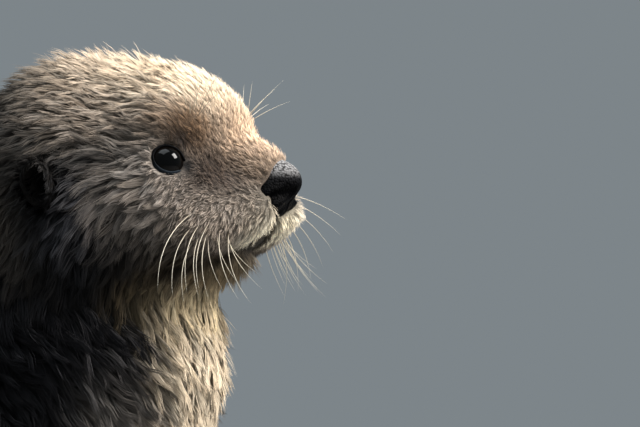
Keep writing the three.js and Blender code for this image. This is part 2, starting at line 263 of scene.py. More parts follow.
def folds(p):
    """Furrows that sink below the coat's depth: sockets, mouth, cleft under the nose and ear openings."""
    socket, ear = 3.5 * near(p, EYE_SURFACE, 5.3, 8), 4.0 * near(p, EAR, 7, 4)
    return socket + 1.6 * mouth_line(p, 1.2) + cleft(*from_head(p)) + ear


body_skin = lambda p: body_field(p) + coat_depth(p) + folds(p)
foreleg_skin = lambda p: foreleg_field(p) + mix(1.6, 4.5, ease(10, 70, p[..., 2]))
toe_wave = lambda p: 0.5 + 0.5 * np.cos(2 * np.pi * (np.abs(p[..., 1]) - 55) / 6)  # 1 between the toes, 6 mm apart
toe_furrows = lambda p: 0.9 * toe_wave(p) * ease(-26, -8, p[..., 0])
paw_skin = lambda p: paw_field(p) + 1.5 + toe_furrows(p) * ease(2, 9, p[..., 2])
thigh_skin = lambda p: thigh_field(p) + mix(1.6, 6, ease(15, 70, p[..., 2]))
print("depth on muzzle, crown and neck:", coat_depth(HEAD + [[30, 9, 5], [-25, 0, 42], [-30, 0, -90]]).round(1), "mm")

# %% [markdown]
# ## Surfaces from rays
# A surface over two parameters could be a height over a plane or a tube round a spine. The body bends twice,
# at the throat and at the withers, so planes of section fan round those two places, and in each plane rays
# leave the spine and stop where the field is nothing. Row by row this gives a grid whose lines run from the
# nose to the tail, which is also the way the hair lies.

# %% Rays and the spine
def leave(field, origin, direction, steps=46):
    """All rays at once: each goes on by 0.95 of what the field says is left, until the field is nothing."""
    t = np.zeros(direction.shape[:-1])
    for _ in range(steps):
        t = np.maximum(0, t - 0.95 * field(origin + t[..., None] * direction))
    return origin + t[..., None] * direction


def fan(pivot, reach, angles):
    """Planes through a pivot: each keeps its point at a reach along its own angle."""
    a = np.radians(angles)
    return np.stack([pivot[0] + reach * np.cos(a), pivot[1] + reach * np.sin(a), angles], 1)


SPINE = np.concatenate([
    [[38, 253, 90], [31, 252, 90]],
    fan([26, 198], np.array([54, 54, 54, 55, 57, 60, 62]), np.array([92, 105, 120, 135, 150, 165, 178.0])),
    fan([-165, 204], -np.array([128, 127, 125, 120, 116, 112, 112]), np.array([174, 160, 145, 130, 115, 102, 95.0])),
    [[-200, 88, 93], [-250, 80, 92], [-300, 62, 97], [-345, 38, 98], [-400, 22, 92], [-470, 17, 90], [-550, 12, 90]],
])
LAST = len(SPINE) - 1
HEAD_SECTIONS = 8
NOSE_ROWS, HEAD_ROWS, TRUNK_ROWS, TAIL_ROWS = 24, 190, 160, 10
COLUMNS = 196


def along_spine(s):
    """Catmull-Rom curve through the sections: a cubic in each span from its two ends and their neighbours."""
    k = np.vstack([2 * SPINE[0] - SPINE[1], SPINE, 2 * SPINE[-1] - SPINE[-2]])
    i = np.clip(np.floor(s).astype(int), 0, LAST - 1)
    w = (s - i)[:, None]
    p0, p1, p2, p3 = k[i], k[i + 1], k[i + 2], k[i + 3]
    t0, t1 = (p2 - p0) / 2, (p3 - p1) / 2
    return ((2 * w**3 - 3 * w**2 + 1) * p1 + (w**3 - 2 * w**2 + w) * t0
            + (3 * w**2 - 2 * w**3) * p2 + (w**3 - w**2) * t1)


def body_rows():
    """For every row its place along the spine, and how far its rays swing to the nose or to the tail."""
    s = np.concatenate([np.zeros(NOSE_ROWS), np.linspace(0, HEAD_SECTIONS, HEAD_ROWS + 1)[:-1],
                        np.linspace(HEAD_SECTIONS, LAST, TRUNK_ROWS + 1), np.full(TAIL_ROWS, LAST)])
    swing = np.zeros(len(s))
    swing[:NOSE_ROWS] = np.pi / 2 * (1 - np.arange(NOSE_ROWS) / NOSE_ROWS)
    swing[-TAIL_ROWS:] = -np.pi / 2 * np.arange(1, TAIL_ROWS + 1) / TAIL_ROWS
    return s, swing


def body_grid(field, rows, columns):
    """Rays in the plane of each row, turned round the spine: cos v up, sin v to the right."""
    s, swing = rows
    at = along_spine(s)
    a = np.radians(at[:, 2])[:, None]
    v = round_ring(columns)
    flat = np.cos(swing)[:, None]
    up, ahead = flat * np.cos(v), np.sin(swing)[:, None] * np.ones(columns)
    way_x, way_z = up * np.cos(a) + ahead * np.sin(a), up * np.sin(a) - ahead * np.cos(a)
    direction = np.stack([way_x, -flat * np.sin(v), way_z], -1)
    origin = np.stack([at[:, 0], 0 * at[:, 0], at[:, 1]], -1)[:, None, :]
    return leave(field, origin, direction)


def limb_grid(field, start, end, rows, columns):
    """Rays from a straight axis, swung round its two ends over the first and last quarter of the rows."""
    start, end = np.array(start, float), np.array(end, float)
    u = np.linspace(0, 1, rows + 1)[:, None, None]
    v = round_ring(columns)[None, :, None]
    axis = unit(end - start)
    side = unit(np.cross([0, 1, 0], axis))
    ring = side * np.cos(v) + np.cross(side, axis) * np.sin(v)
    swing = (np.minimum(4 * u - 1, 0) + np.maximum(4 * u - 3, 0)) * np.pi / 2
    origin = mix(start, end, np.clip(2 * u - 0.5, 0, 1)) + 0 * ring
    return leave(field, origin, ring * np.cos(swing) + axis * np.sin(swing))


ROWS = body_rows()
body = body_grid(body_skin, ROWS, COLUMNS)
print("body grid", body.shape, "from", body.min((0, 1)).round(1), "to", body.max((0, 1)).round(1))

# %% Limbs on the left side
FLIPPER = dict(heading=9, spread=19, inner=14, outer_digit=130, inner_digit=98, web=0.045, heel=20, toe=7)
ANKLE = np.array([-322, 82])
CLEAR, HAIR_CLEAR = 0.3, 0.25  # lowest heights of skin and of hair above the floor, in mm


def flipper_at(across, out):
    """Plan of the hind foot: digits fan out from the ankle, and the web between them is a little shorter."""
    between = 0.5 - 0.5 * np.cos(8 * np.pi * across)
    edge = mix(FLIPPER["inner_digit"], FLIPPER["outer_digit"], across) * (1 - FLIPPER["web"] * between)
    reach = mix(FLIPPER["inner"], edge, out)
    angle = np.radians(FLIPPER["heading"] + FLIPPER["spread"] * (2 * across - 1) * (0.8 + 0.2 * out))
    return ANKLE[0] + reach * np.cos(angle), ANKLE[1] + reach * np.sin(angle)


def flipper_grid(rows, columns, inset):
    """Its top from the inner edge to the outer, then the flat sole back: thickness falls with the root of out."""
    out = np.linspace(0, 1, rows + 1)[:, None]
    v = (np.arange(columns) / columns)[None, :]
    top = v <= 0.5
    across = np.where(top, 2 * v, 2 - 2 * v)
    x, y = flipper_at(mix(0.5, across, 0.975), mix(0.5, out, 0.985))
    ridge = 0.8 + 0.2 * np.cos(8 * np.pi * across)
    sides = np.sqrt(1 - np.abs(2 * across - 1) ** 5)
    ends = np.sqrt(1 - np.abs(2 * out - 1) ** 9)
    thick = (mix(FLIPPER["heel"], FLIPPER["toe"], np.sqrt(out)) * ridge - inset) * sides * ends
    return np.stack([x, y, np.where(top, np.maximum(thick, 0), 0) + CLEAR], -1)


limbs = {
    "foreleg": limb_grid(foreleg_skin, [-61, 47, 122], [-53, 52, 16], 48, 40),
    "forepaw": limb_grid(paw_skin, [-44, 52, 10], [-20, 52, 10], 48, 44),
    "thigh": limb_grid(thigh_skin, [-270, 62, 52], [-298, 68, 38], 44, 48),
    "flipper": flipper_grid(44, 96, 1.4),
}
for name, grid in limbs.items():
    print(name, grid.shape, grid.min((0, 1)).round(1), grid.max((0, 1)).round(1))

# %% [markdown]
# ## One skin
# Leg and trunk could be joined by a boolean, which leaves a sharp crease. Instead each shell is pushed out
# onto the smooth union of all the skins: near a meeting both shells come to lie on the same rounded fillet,
# and further on each dives under the other. The feet are pressed flat on the floor.

# %% Fillets where limbs meet the trunk
def whole_skin(p):
    """The skins of the trunk and of each limb, one blended into the next."""
    d = smooth_min(body_skin(p), foreleg_skin(p), 16)
    d = smooth_min(d, paw_skin(p), 8)
    return smooth_min(d, thigh_skin(p), 26)


def onto_union(p, shallow=7.0, deep=12.0):
    """Moves each point against the slope by as much as it lies inside, fading out for points well inside."""
    step = 0.05
    f = whole_skin(p)
    slope = np.stack([whole_skin(p + step * np.eye(3)[k]) - f for k in range(3)], -1)
    push = np.clip(-f, 0, None) * (1 - ease(shallow, deep, -f))
    return p + unit(slope) * push[..., None]


behind_head = ROWS[0] > HEAD_SECTIONS + 0.5
body[behind_head] = onto_union(onto_union(body[behind_head]))
for name in ("foreleg", "forepaw", "thigh"):
    limbs[name] = onto_union(onto_union(limbs[name]))
sheets = {"body": body}
for name, grid in limbs.items():
    sheets[name + "_left"] = grid
    sheets[name + "_right"] = (grid * [1, -1, 1])[:, ::-1]
for grid in sheets.values():
    grid[..., 2] = np.maximum(grid[..., 2], CLEAR)
print("shells of the skin:", len(sheets))

# %% Meshes from arrays
def in_scene(name, data, matrix=Matrix.Identity(4)):
    """A new object that shows some data, linked to the scene and put where its matrix says."""
    made = bpy.data.objects.new(name, data)
    bpy.context.collection.objects.link(made)
    made.matrix_world = matrix
    return made


def facing(x, y, z, at):
    """The matrix that turns an object's own axes to x, y and z and moves it to a place, in metres."""
    return Matrix([[x[k], y[k], z[k], at[k]] for k in range(3)] + [[0, 0, 0, 1]])


def new_piece(name, points, blocks, corner_uv, map_name, material, normals=None):
    """Puts points in millimetres and blocks of faces, three- or four-cornered, into one mesh object."""
    mesh = bpy.data.meshes.new(name)
    mesh.vertices.add(len(points))
    mesh.vertices.foreach_set("co", ((points + SHIFT) * MM).astype(np.float32).ravel())
    loops = np.concatenate([b.ravel() for b in blocks]).astype(np.int32)
    sizes = np.concatenate([np.full(len(b), b.shape[1]) for b in blocks])
    mesh.loops.add(len(loops))
    mesh.loops.foreach_set("vertex_index", loops)
    mesh.polygons.add(len(sizes))
    mesh.polygons.foreach_set("loop_start", (np.cumsum(sizes) - sizes).astype(np.int32))
    mesh.polygons.foreach_set("use_smooth", np.ones(len(sizes), bool))
    mesh.update(calc_edges=True)
    mesh.validate()
    layer = mesh.uv_layers.new(name=map_name)
    layer.uv.foreach_set("vector", corner_uv.astype(np.float32).ravel())
    if normals is not None:
        mesh.normals_split_custom_set_from_vertices(normals)
    mesh.materials.append(material)
    return in_scene(name, mesh)


def mark_points(piece, name, values):
    """Stores a number or a colour at every point of a piece, under a name that its material reads."""
    kind, field = ("FLOAT", "value") if values.ndim == 1 else ("FLOAT_COLOR", "color")
    piece.data.attributes.new(name, kind, "POINT").data.foreach_set(field, values.astype(np.float32).ravel())


def drawn_in(grid):
    """All points of a grid in a row, its first and last rows each drawn in to one point."""
    return np.concatenate([grid[:1].mean(1), grid[1:-1].reshape(-1, *grid.shape[2:]), grid[-1:].mean(1)])


def share_of_rows(grid):
    """0 at the first row of a grid and 1 at its last, in even steps."""
    return np.broadcast_to(np.linspace(0, 1, len(grid))[:, None], grid.shape[:2])


def shell(grid, window=(0, 0, 1, 1), first=0):
    """Closed shell of a grid whose first and last rows are single points: quads between, triangles at the ends.
    Its map runs along the rows in one direction and round the columns in the other, inside a window."""
    rows, columns = grid.shape[0] - 1, grid.shape[1]
    points = drawn_in(grid)
    corners = lambda *places: np.stack([np.stack(np.broadcast_arrays(*place), 1) for place in places], 1)
    i, j = np.meshgrid(np.arange(rows - 2), np.arange(columns), indexing="ij")
    i, j = i.ravel(), j.ravel()
    k = (j + 1) % columns
    quads = 1 + np.stack([i * columns + j, i * columns + k, (i + 1) * columns + k, (i + 1) * columns + j], 1)
    quad_uv = corners((i + 1, j), (i + 1, j + 1), (i + 2, j + 1), (i + 2, j))
    c = np.arange(columns)
    d = (c + 1) % columns
    end = 1 + (rows - 2) * columns
    caps = np.concatenate([np.stack([0 * c, 1 + d, 1 + c], 1),
                           np.stack([end + columns + 0 * c, end + c, end + d], 1)])
    cap_uv = np.concatenate([corners((0, c + 0.5), (1, c + 1), (1, c)),
                             corners((rows, c + 0.5), (rows - 1, c), (rows - 1, c + 1))])
    a, b, e = (points[quads[:, n]] - points.mean(0) for n in range(3))
    if np.einsum("ij,ij->", a, np.cross(b, e)) < 0:
        quads, quad_uv, caps, cap_uv = quads[:, ::-1], quad_uv[:, ::-1], caps[:, ::-1], cap_uv[:, ::-1]
    uv = np.concatenate([quad_uv.reshape(-1, 2), cap_uv.reshape(-1, 2)]) / [rows, columns]
    uv = np.array(window[:2]) + uv * (np.array(window[2:]) - window[:2])
    return points, quads + first, caps + first, uv[: quads.size], uv[quads.size:]


def join_shells(name, grids, material, replaced=(), windows=None, mark=None):
    """One piece on the body with a closed shell for each grid. Windows place the shells on the coat's own map.
    A mark is an attribute's name and a number for every point of the grids."""
    parts, count = [], 0
    for n, grid in enumerate(grids):
        parts.append(shell(grid, windows[n] if windows else (0, 0, 1, 1), count))
        count += len(parts[-1][0])
    points, quads, caps, quad_uv, cap_uv = (np.concatenate(column) for column in zip(*parts))
    map_name = "OFBake" if windows else "UVMap"
    piece = new_piece(name, points, [quads, caps], np.concatenate([quad_uv, cap_uv]), map_name, material)
    if mark:
        mark_points(piece, mark[0], np.concatenate([drawn_in(values) for values in mark[1]]))
    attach(piece, "root")
    if replaced:
        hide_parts(*replaced)
    return piece


paw_points, paw_quads, paw_ends = shell(sheets["forepaw_left"])[:3]
print("shell of a forepaw:", len(paw_points), "points,", len(paw_quads), "quads and", len(paw_ends), "triangles")

# %% [markdown]
# ## Markings
# Young sea otters have a straw-coloured crown, throat and chest, a greyer face, dark sides of the neck and a
# brown body with nearly black feet. Some patches add painted shade on top of that: the sides of the neck,
# the jowls, the sides of the throat, the back of the head, the temples, the jaw, the lips and the ears; and
# some add painted light: the edge of the lip and the underside of the jaw. A painted image could hold this,
# but a formula is lighter and has no seams: soft-edged patches of colour, each an ellipsoid given from the
# middle of the skull, are laid over each other in turn. The skin and every lock of the coat read the same formula.

# %% Colour formula
def paint(red, green, blue):
    """Everyday 0 to 255 colour values as the light they stand for: each over 255, to the power 2.2."""
    return (np.array([red, green, blue]) / 255.0) ** 2.2


FACE_PATCHES = [  # place, half-sizes, sharpness, strength, colour
    ([6, 40, -11], [22, 30, 18], 3, 1.0, (184, 171, 159)),  # cheek
    # temple: grey-brown fur, darkened further as painted shade
    ([-8, 42, 4], [15, 16, 11], 3, 0.88, (84, 79, 74)),  # temple behind the eye
    ([-16, 0, 50], [48, 60, 31], 5, 1.0, (238, 214, 187)),  # crown
    # back of the head: dark grey painted shade, where the head turns away from the light
    ([-55, 0, 15], [37, 74, 38], 3, 0.95, (46, 44, 42)),  # back of the head
    ([-6, 42, 24], [28, 22, 13], 3, 0.85, (168, 152, 136)),  # side of the crown
    ([14, 0, 34], [30, 34, 21], 4, 1.0, (222, 200, 172)),  # forehead
    ([26, 0, 8], [24, 17, 16], 3, 1.0, (204, 174, 146)),  # bridge
    ([18, 27, 13], [14, 10, 9], 3, 0.85, (136, 107, 80)),  # brow
    ([19, 32, 9.5], [7, 9, 6.5], 2, 0.95, (34, 27, 22)),  # shadow over the corner of the eye
    ([28, 25, -4], [16, 18, 11], 3, 0.9, (62, 51, 44)),  # side of the muzzle
    ([28, 26, -18], [19, 19, 9], 3, 0.9, (168, 154, 140)),  # whisker pad
    # jaw: dark brown fur, with painted shade under the muzzle
    ([2, 30, -36], [36, 26, 13], 3, 0.95, (74, 67, 57)),  # jaw
    # jowl and side of the throat: near-black, bluish painted shade where the head turns away from the light
    ([-11, 46, -33], [36, 27, 26], 3, 0.98, (9, 10, 13)),  # jowl
    ([0, 40, -53], [26, 16, 17], 3, 0.95, (20, 21, 24)),  # side of the throat
    # edge of the lip: pale lip fur, brightened to near white as painted light
    ([38, 6, -20], [11, 13, 9], 3, 0.93, (252, 240, 212)),  # edge of the lip
    ([20, 8, -36], [24, 17, 9], 4, 0.95, (96, 83, 62)),  # chin
    # under the jaw: pale throat fur, lightened further as painted light against the jaw's shadow
    ([12, 12, -46], [23, 23, 9], 3, 0.92, (206, 186, 150)),  # under the jaw
    # corner of the jaw: dark brown fur, with the painted shade under the jaw carried lower
    ([8, 34, -42], [17, 12, 11], 3, 0.85, (80, 69, 52)),  # corner of the jaw
]


def markings(p, foot):
    """Colour at each point: the body's own, then each patch laid on by exp(-(distance in half-sizes)^sharpness),
    and the dark of the feet over all, as far as foot says."""
    x, y, z = from_head(p)
    height = p[..., 2]
    around = np.arctan2(y, p[..., 0] + 36)
    tone = lambda rgb, weight, under: mix(under, rgb, np.asarray(weight)[..., None])
    colour = paint(86, 70, 56) + 0 * p
    colour = tone(paint(112, 96, 78), ease(80, 25, height), colour)
    colour = tone(paint(66, 54, 45), ease(-330, -420, x), colour)
    # the sides of the neck are dark fur, made darker and bluer still as painted shade; the front stays lighter
    neck = ease(-150, -90, x) * ease(110, 150, height)
    beside = ease(1.40, 1.0, around) * ease(208, 168, height)
    colour = tone(mix(paint(33, 32, 34), paint(116, 110, 104), beside[..., None]), neck, colour)
    nape = neck * ease(2.2, 2.8, around)
    colour = tone(paint(66, 60, 54), nape, colour)
    wave = 0.10 * np.sin(height / 9) + 0.07 * np.sin(height / 4.1 + 1)
    bib = ease(mix(1.0, 0.78, ease(170, 205, height)), 0.42, around + wave)
    bib = bib * ease(60, 120, height) * ease(-120, -60, x)
    colour = tone(paint(206, 189, 164), bib, colour)
    face = ease(-52, -36, z + 0.35 * (x + 10)) * ease(-76, -60, x)
    painted = paint(110, 102, 94) + 0 * p
    for place, half, sharp, strength, rgb in FACE_PATCHES:
        dx, dy, dz = (x - place[0]) / half[0], (y - place[1]) / half[1], (z - place[2]) / half[2]
        q = np.sqrt(dx**2 + dy**2 + dz**2)
        painted = tone(paint(*rgb), strength * np.exp(-(q**sharp)), painted)
    # painted shade in the cleft under the nose and along the crease of the mouth, over the lips' dark skin
    lips = np.maximum(cleft(x, y, z, 1.7), mouth_line(p, 1.5))
    painted = tone(paint(44, 36, 28), 0.95 * lips, painted)
    painted = tone(paint(14, 12, 12), near(p, EYE + 5.4 * EYE_OUT + 7.6 * EYE_AHEAD, 2.8, 4), painted)
    # painted shade: bluish dark before and below the ear, and near black in and round its hollow
    painted = tone(paint(50, 52, 58), 0.88 * near(p, EAR + [11, 0, -5], 15.0, 3), painted)
    painted = tone(paint(12, 12, 13), 0.97 * near(p, EAR, 14.0, 4), painted)
    colour = mix(colour, painted, face[..., None])
    return mix(colour, paint(46, 38, 33) + 0 * p, np.broadcast_to(foot, x.shape)[..., None])


def footness(p, name):
    """How far down a limb the dark of the foot has come: all of it on the feet, none at the shoulder and hip."""
    if name.startswith(("forepaw", "flipper")):
        return np.ones(p.shape[:-1])
    if name.startswith(("foreleg", "thigh")):
        return ease(62, 20, p[..., 2])
    return 0.0


print(len(FACE_PATCHES), "patches on the face; the crown's colour is", markings(HEAD + [[-16, 0, 42]], 0.0)[0].round(2))

# %% [markdown]
# ## Materials
# Hair is lit from within a little, so its colour is a soft one, darker towards the root because little light
# gets there, with a slight gloss along it. Skin under it is the same colour, darkened as painted shade under
# the coat. Wet black leather for the nose needs small rounded cells in relief, and its top carries a painted
# sheen; the lids carry a painted highlight under the eye. Each is built of nodes, with every constant on the shader.

# %% Node helpers
def look(name, roughness, specular=0.5, **constants):
    """A new material: its tree, its main shader with constants set on the shader's own sockets."""
    material = bpy.data.materials.new(name)
    material.use_nodes = True
    tree = material.node_tree
    shader = tree.nodes["Principled BSDF"]
    shader.inputs["Roughness"].default_value = roughness
    shader.inputs["Specular IOR Level"].default_value = specular
    for socket, value in constants.items():
        shader.inputs[socket.replace("_", " ")].default_value = value
    return material, tree, shader


def node(tree, kind, links=(), **settings):
    """Adds a node, sets what is named on it and links the sockets given as (number, source)."""
    made = tree.nodes.new(kind)
    for key, value in settings.items():
        setattr(made, key, value)
    for number, source in links:
        tree.links.new(source, made.inputs[number])
    return made


def set_inputs(made, **values):
    """Sets input sockets by name, with _ for a space."""
    for key, value in values.items():
        made.inputs[key.replace("_", " ")].default_value = value
    return made


def ramp(tree, source, stops):
    """A colour ramp: stops are (place, grey or colour)."""
    made = node(tree, "ShaderNodeValToRGB", [(0, source)])
    marks = made.color_ramp.elements
    while len(marks) < len(stops):
        marks.new(0.5)
    for mark, (place, value) in zip(marks, stops):
        mark.position = place
        mark.color = (*value, 1) if hasattr(value, "__len__") else (value, value, value, 1)
    return made.outputs["Color"]


def bump(tree, shader, height, strength, distance):
    """Relief from a height, distance in metres."""
    relief = set_inputs(tree.nodes.new("ShaderNodeBump"), Strength=strength, Distance=distance)
    tree.links.new(height, relief.inputs["Height"])
    tree.links.new(relief.outputs["Normal"], shader.inputs["Normal"])


def noise(tree, source, scale, detail=2.0):
    """A noise texture over a place, with so many waves to each unit of it."""
    return set_inputs(node(tree, "ShaderNodeTexNoise", [(0, source)]), Scale=scale, Detail=detail)


def times(tree, a, b):
    """Two colours multiplied."""
    return node(tree, "ShaderNodeVectorMath", [(0, a), (1, b)], operation="MULTIPLY").outputs[0]


def place_in_body(tree):
    """The point being shaded, in metres of the piece's own frame."""
    return node(tree, "ShaderNodeTexCoord").outputs["Object"]


def marked(tree, name):
    """The attribute that mark_points stored under a name."""
    return node(tree, "ShaderNodeAttribute", attribute_name=name)


def share_of_height(tree, start, end):
    """0 at the start height and 1 at the end height, both in mm and either the higher, eased between them."""
    height = node(tree, "ShaderNodeSeparateXYZ", [(0, place_in_body(tree))]).outputs["Z"]
    share = node(tree, "ShaderNodeMapRange", [(0, height)], interpolation_type="SMOOTHSTEP")
    return set_inputs(share, From_Min=float(start) * MM, From_Max=float(end) * MM).outputs["Result"]


print("a grey of 128 out of 255 stands for", paint(128, 128, 128)[0].round(2), "of the light")

# %% Fur and skin
def fur_look(name, root, tip):
    """Colour from the lock's own tint, darkened at the root and lit at the tip, with fine uneven streaks."""
    material, tree, shader = look(name, 0.6, 0.16)
    tint = marked(tree, "tint")
    shade = ramp(tree, tint.outputs["Alpha"], [(0.0, root), (0.45, mix(root, tip, 0.55)), (1.0, tip)])
    mottle = ramp(tree, noise(tree, place_in_body(tree), 420.0).outputs["Fac"], [(0.3, 0.88), (0.7, 1.10)])
    colour = times(tree, times(tree, tint.outputs["Color"], shade), mottle)
    tree.links.new(colour, shader.inputs["Base Color"])
    return material


def skin_look():
    """The coat's markings, darker as painted shade under the coat, with short streaks of relief along the lie of the
    hair from the skin's map.
    """
    material, tree, shader = look("skin_under_fur", 0.75, 0.25)
    tint = marked(tree, "tint")
    chart = node(tree, "ShaderNodeUVMap", uv_map="OFBake").outputs["UV"]
    stretch = set_inputs(node(tree, "ShaderNodeMapping", [(0, chart)]), Scale=(90, 420, 1))
    streaks = noise(tree, stretch.outputs[0], 2.0, 3.0).outputs["Fac"]
    # painted shade: the skin shows the markings at 0.40 to 0.72 of their brightness
    shade = ramp(tree, streaks, [(0.3, 0.40), (0.7, 0.72)])
    tree.links.new(times(tree, tint.outputs["Color"], shade), shader.inputs["Base Color"])
    bump(tree, shader, streaks, 0.8, 0.0006)
    return material


skin_material = skin_look()
fur_materials = {
    "muzzle": fur_look("fur_of_the_muzzle", 0.10, 1.75),
    "crown": fur_look("fur_of_the_crown", 0.76, 1.14),
    "cheek": fur_look("fur_of_the_cheek", 0.22, 1.45),
    "chest": fur_look("fur_of_the_neck", 0.34, 1.24),
    "back": fur_look("fur_of_the_back", 0.30, 1.25),
    "foot": fur_look("fur_of_the_feet", 0.45, 1.15),
}
print("materials of the coat:", len(fur_materials))

# %% The skin as one piece
STRIP = 1 / 8  # of the map's width for each shell of a limb, over the body's own part
windows = {"body": (0.0, 0.0, 1.0, 0.72)}
for count, name in enumerate(n for n in sheets if n != "body"):
    windows[name] = (STRIP * count + 0.004, 0.74, STRIP * count + 0.121, 0.995)
FLESH = ["head", "lower_jaw", "neck", "trunk", "tail"] + [
    f"{part}_{word}" for part in ("foreleg", "forepaw", "thigh", "hind_flipper") for word in ("left", "right")]
skin = join_shells("skin", sheets.values(), skin_material, FLESH, list(windows.values()))
tints = []
for name, grid in sheets.items():
    place = drawn_in(grid)
    tints.append(markings(place, footness(place, name)))
mark_points(skin, "tint", np.column_stack([np.concatenate(tints), np.ones(len(skin.data.vertices))]))
triangles = len(skin.data.loops) - 2 * len(skin.data.polygons)
print("skin:", len(skin.data.vertices), "points,", triangles, "triangles")

# %% [markdown]
# ## Eyes and lids
# A sea otter's eye is nearly black: a dark brown iris round a wide pupil, under a clear wet cornea. A plain
# sphere would look like a bead, so the front swells a little, and the lids are a rolled rim of bare dark skin
# that hugs the ball, drawn out to a small corner towards the nose.

# %% Eye material and eyeball
def eye_look():
    """Brown iris between pupil and rim by the distance from the eye's own axis, kept in an attribute."""
    material, tree, shader = look("wet_eye", 0.05, 0.24, IOR=1.376)
    pupil, iris, rim = (0.0008, 0.0008, 0.001), (0.0024, 0.0016, 0.0011), (0.001, 0.001, 0.001)
    colour = ramp(tree, marked(tree, "from_axis").outputs["Fac"], [
        (0.0, pupil), (0.42, rim), (0.50, (0.0018, 0.0013, 0.0010)), (0.66, iris), (0.76, rim)])
    tree.links.new(colour, shader.inputs["Base Color"])
    return material


def eye_axes(side):
    """Out of the head, towards the nose and down the face, at right angles."""
    out = EYE_OUT * [1, side, 1]
    front = unit(np.array([1, 0, 0]) - out * out[0])
    return out, front, unit(np.cross(out, front) * side)


def eyeball(side, rows=40, columns=64):
    """A sphere just inside the lids, its front pushed out by 0.5 mm times exp(-(angle / 0.55)^4). With it goes,
    for every point, the sine of its angle from the axis, or 1 and more behind the ball's middle."""
    out, front, down = eye_axes(side)
    a = np.linspace(0, np.pi, rows + 1)[:, None]
    radius = EYE_RADIUS - 0.3 + 0.5 * np.exp(-((a / 0.55) ** 4))
    ring = ring_ways(front, down, columns)
    way = out * np.cos(a)[..., None] + ring * np.sin(a)[..., None]
    grid = (HEAD + EYE_SEAT * [1, side, 1]) + radius[..., None] * way
    return grid, np.broadcast_to(np.sin(a) + (a > np.pi / 2), grid.shape[:2])


eye_material = eye_look()
for side, word in SIDES:
    grid, from_axis = eyeball(side)
    join_shells(f"eye_{word}_glass", [grid], eye_material, ["eye_" + word], mark=("from_axis", [from_axis]))
print("eyes look along", EYE_OUT.round(2))

# %% Eyelids
LID_STEPS = np.array([  # how far outside the opening, and how far above the ball, for each point of the rim
    [-0.45, -0.9], [-0.3, -0.15], [-0.15, 0.10], [0.02, 0.24], [0.2, 0.28], [0.4, 0.18], [0.65, -0.10],
    [1.0, -0.7], [1.5, -1.6], [2.2, -3.0]])
OPEN_LONG, OPEN_HIGH = 5.4, 4.8  # half of the opening's length and of its height, in mm


def lid_opening(v):
    """Radius of the opening by the angle down from the nose side: the radius of an oval, and a corner of
    3.2 exp(-((v - 0.10) / 0.27)^2) mm drawn out to the nose."""
    turn = (v - 0.10 + np.pi) % (2 * np.pi) - np.pi
    oval = OPEN_LONG * OPEN_HIGH / np.sqrt((OPEN_HIGH * np.cos(v)) ** 2 + (OPEN_LONG * np.sin(v)) ** 2)
    return oval + 3.2 * np.exp(-((turn / 0.27) ** 2))


def lid_rim(side, columns=96):
    """The rim's cross-section carried round the opening, its outer steps sunk a little more at the top."""
    out, front, down = eye_axes(side)
    v = round_ring(columns)
    opening = lid_opening(v)
    r = opening + LID_STEPS[:, :1]
    above = np.sqrt(np.maximum(EYE_RADIUS**2 - np.minimum(opening, 6.3) ** 2, 4)) + LID_STEPS[:, 1:]
    above[5:] -= 0.25 * (1 - np.sin(v)) * LID_STEPS[5:, :1] / 3
    ring = ring_ways(front, down, columns)
    grid = (HEAD + EYE_SEAT * [1, side, 1]) + out * above[..., None] + ring * r[..., None]
    middle = grid.mean(1, keepdims=True) - out * 4
    return np.concatenate([np.repeat(middle[:1], columns, 1), grid, np.repeat(middle[-1:], columns, 1)])


def leather_look(name, roughness, specular, scale, relief, depth, colour, drift=0.6):
    """Bare skin of small rounded cells, 1 on their tops and 0 between them, their places shifted by noise of up
    to drift cells. The relief's depth is in metres, and colour is a formula of the tree and the cells' height."""
    material, tree, shader = look(name, roughness, specular)
    place = place_in_body(tree)
    waves = noise(tree, place, scale * 0.4).outputs["Color"]
    shift = node(tree, "ShaderNodeVectorMath", [(0, waves)], operation="SCALE")
    set_inputs(shift, Scale=drift / scale)
    moved = node(tree, "ShaderNodeVectorMath", [(0, place), (1, shift.outputs[0])], operation="ADD").outputs[0]
    cells = set_inputs(node(tree, "ShaderNodeTexVoronoi", [(0, moved)]), Scale=scale)
    tops = ramp(tree, cells.outputs["Distance"], [(0.0, 1.0), (0.45, 0.75), (0.8, 0.0)])
    tree.links.new(colour(tree, tops), shader.inputs["Base Color"])
    bump(tree, shader, tops, relief, depth)
    return material


def lid_colour(tree, tops):
    """Black over the eye and a slate grey painted highlight on the lid under it, whatever the cells."""
    share = share_of_height(tree, HEAD[2] + EYE[2] + 2.0, HEAD[2] + EYE[2] - 2.5)
    # painted highlight: black above, slate grey on the lower lid
    return ramp(tree, share, [(0.0, (0.0012, 0.0012, 0.0016)), (1.0, (0.016, 0.021, 0.027))])


lid_material = leather_look("skin_of_the_lids", roughness=0.5, specular=0.05, scale=1800, relief=0.4, depth=0.00012,
                            colour=lid_colour)
for side, word in SIDES:
    join_shells("eyelids_" + word, [lid_rim(side)], lid_material)
print("lids: opening", 2 * OPEN_LONG, "by", 2 * OPEN_HIGH, "mm")

# %% [markdown]
# ## Nose pad
# The pad is the largest patch of bare skin: a rounded diamond with two comma-shaped nostrils, domed on top
# and pebbled all over. It follows its solid's forms, and the nostrils are two slanting cones cut out of the
# field before the rays are sent, so that the hollows are part of the one surface.

# %% Nose
NOSTRIL = cone([49.5, 4.0, -8.6], [44.0, 10.2, -9.6], 2.3, 1.5)[0]
NOSTRIL_TAIL = cone([44.5, 9.6, -9.6], [38.5, 12.6, -12.0], 1.0, 0.4)[0]


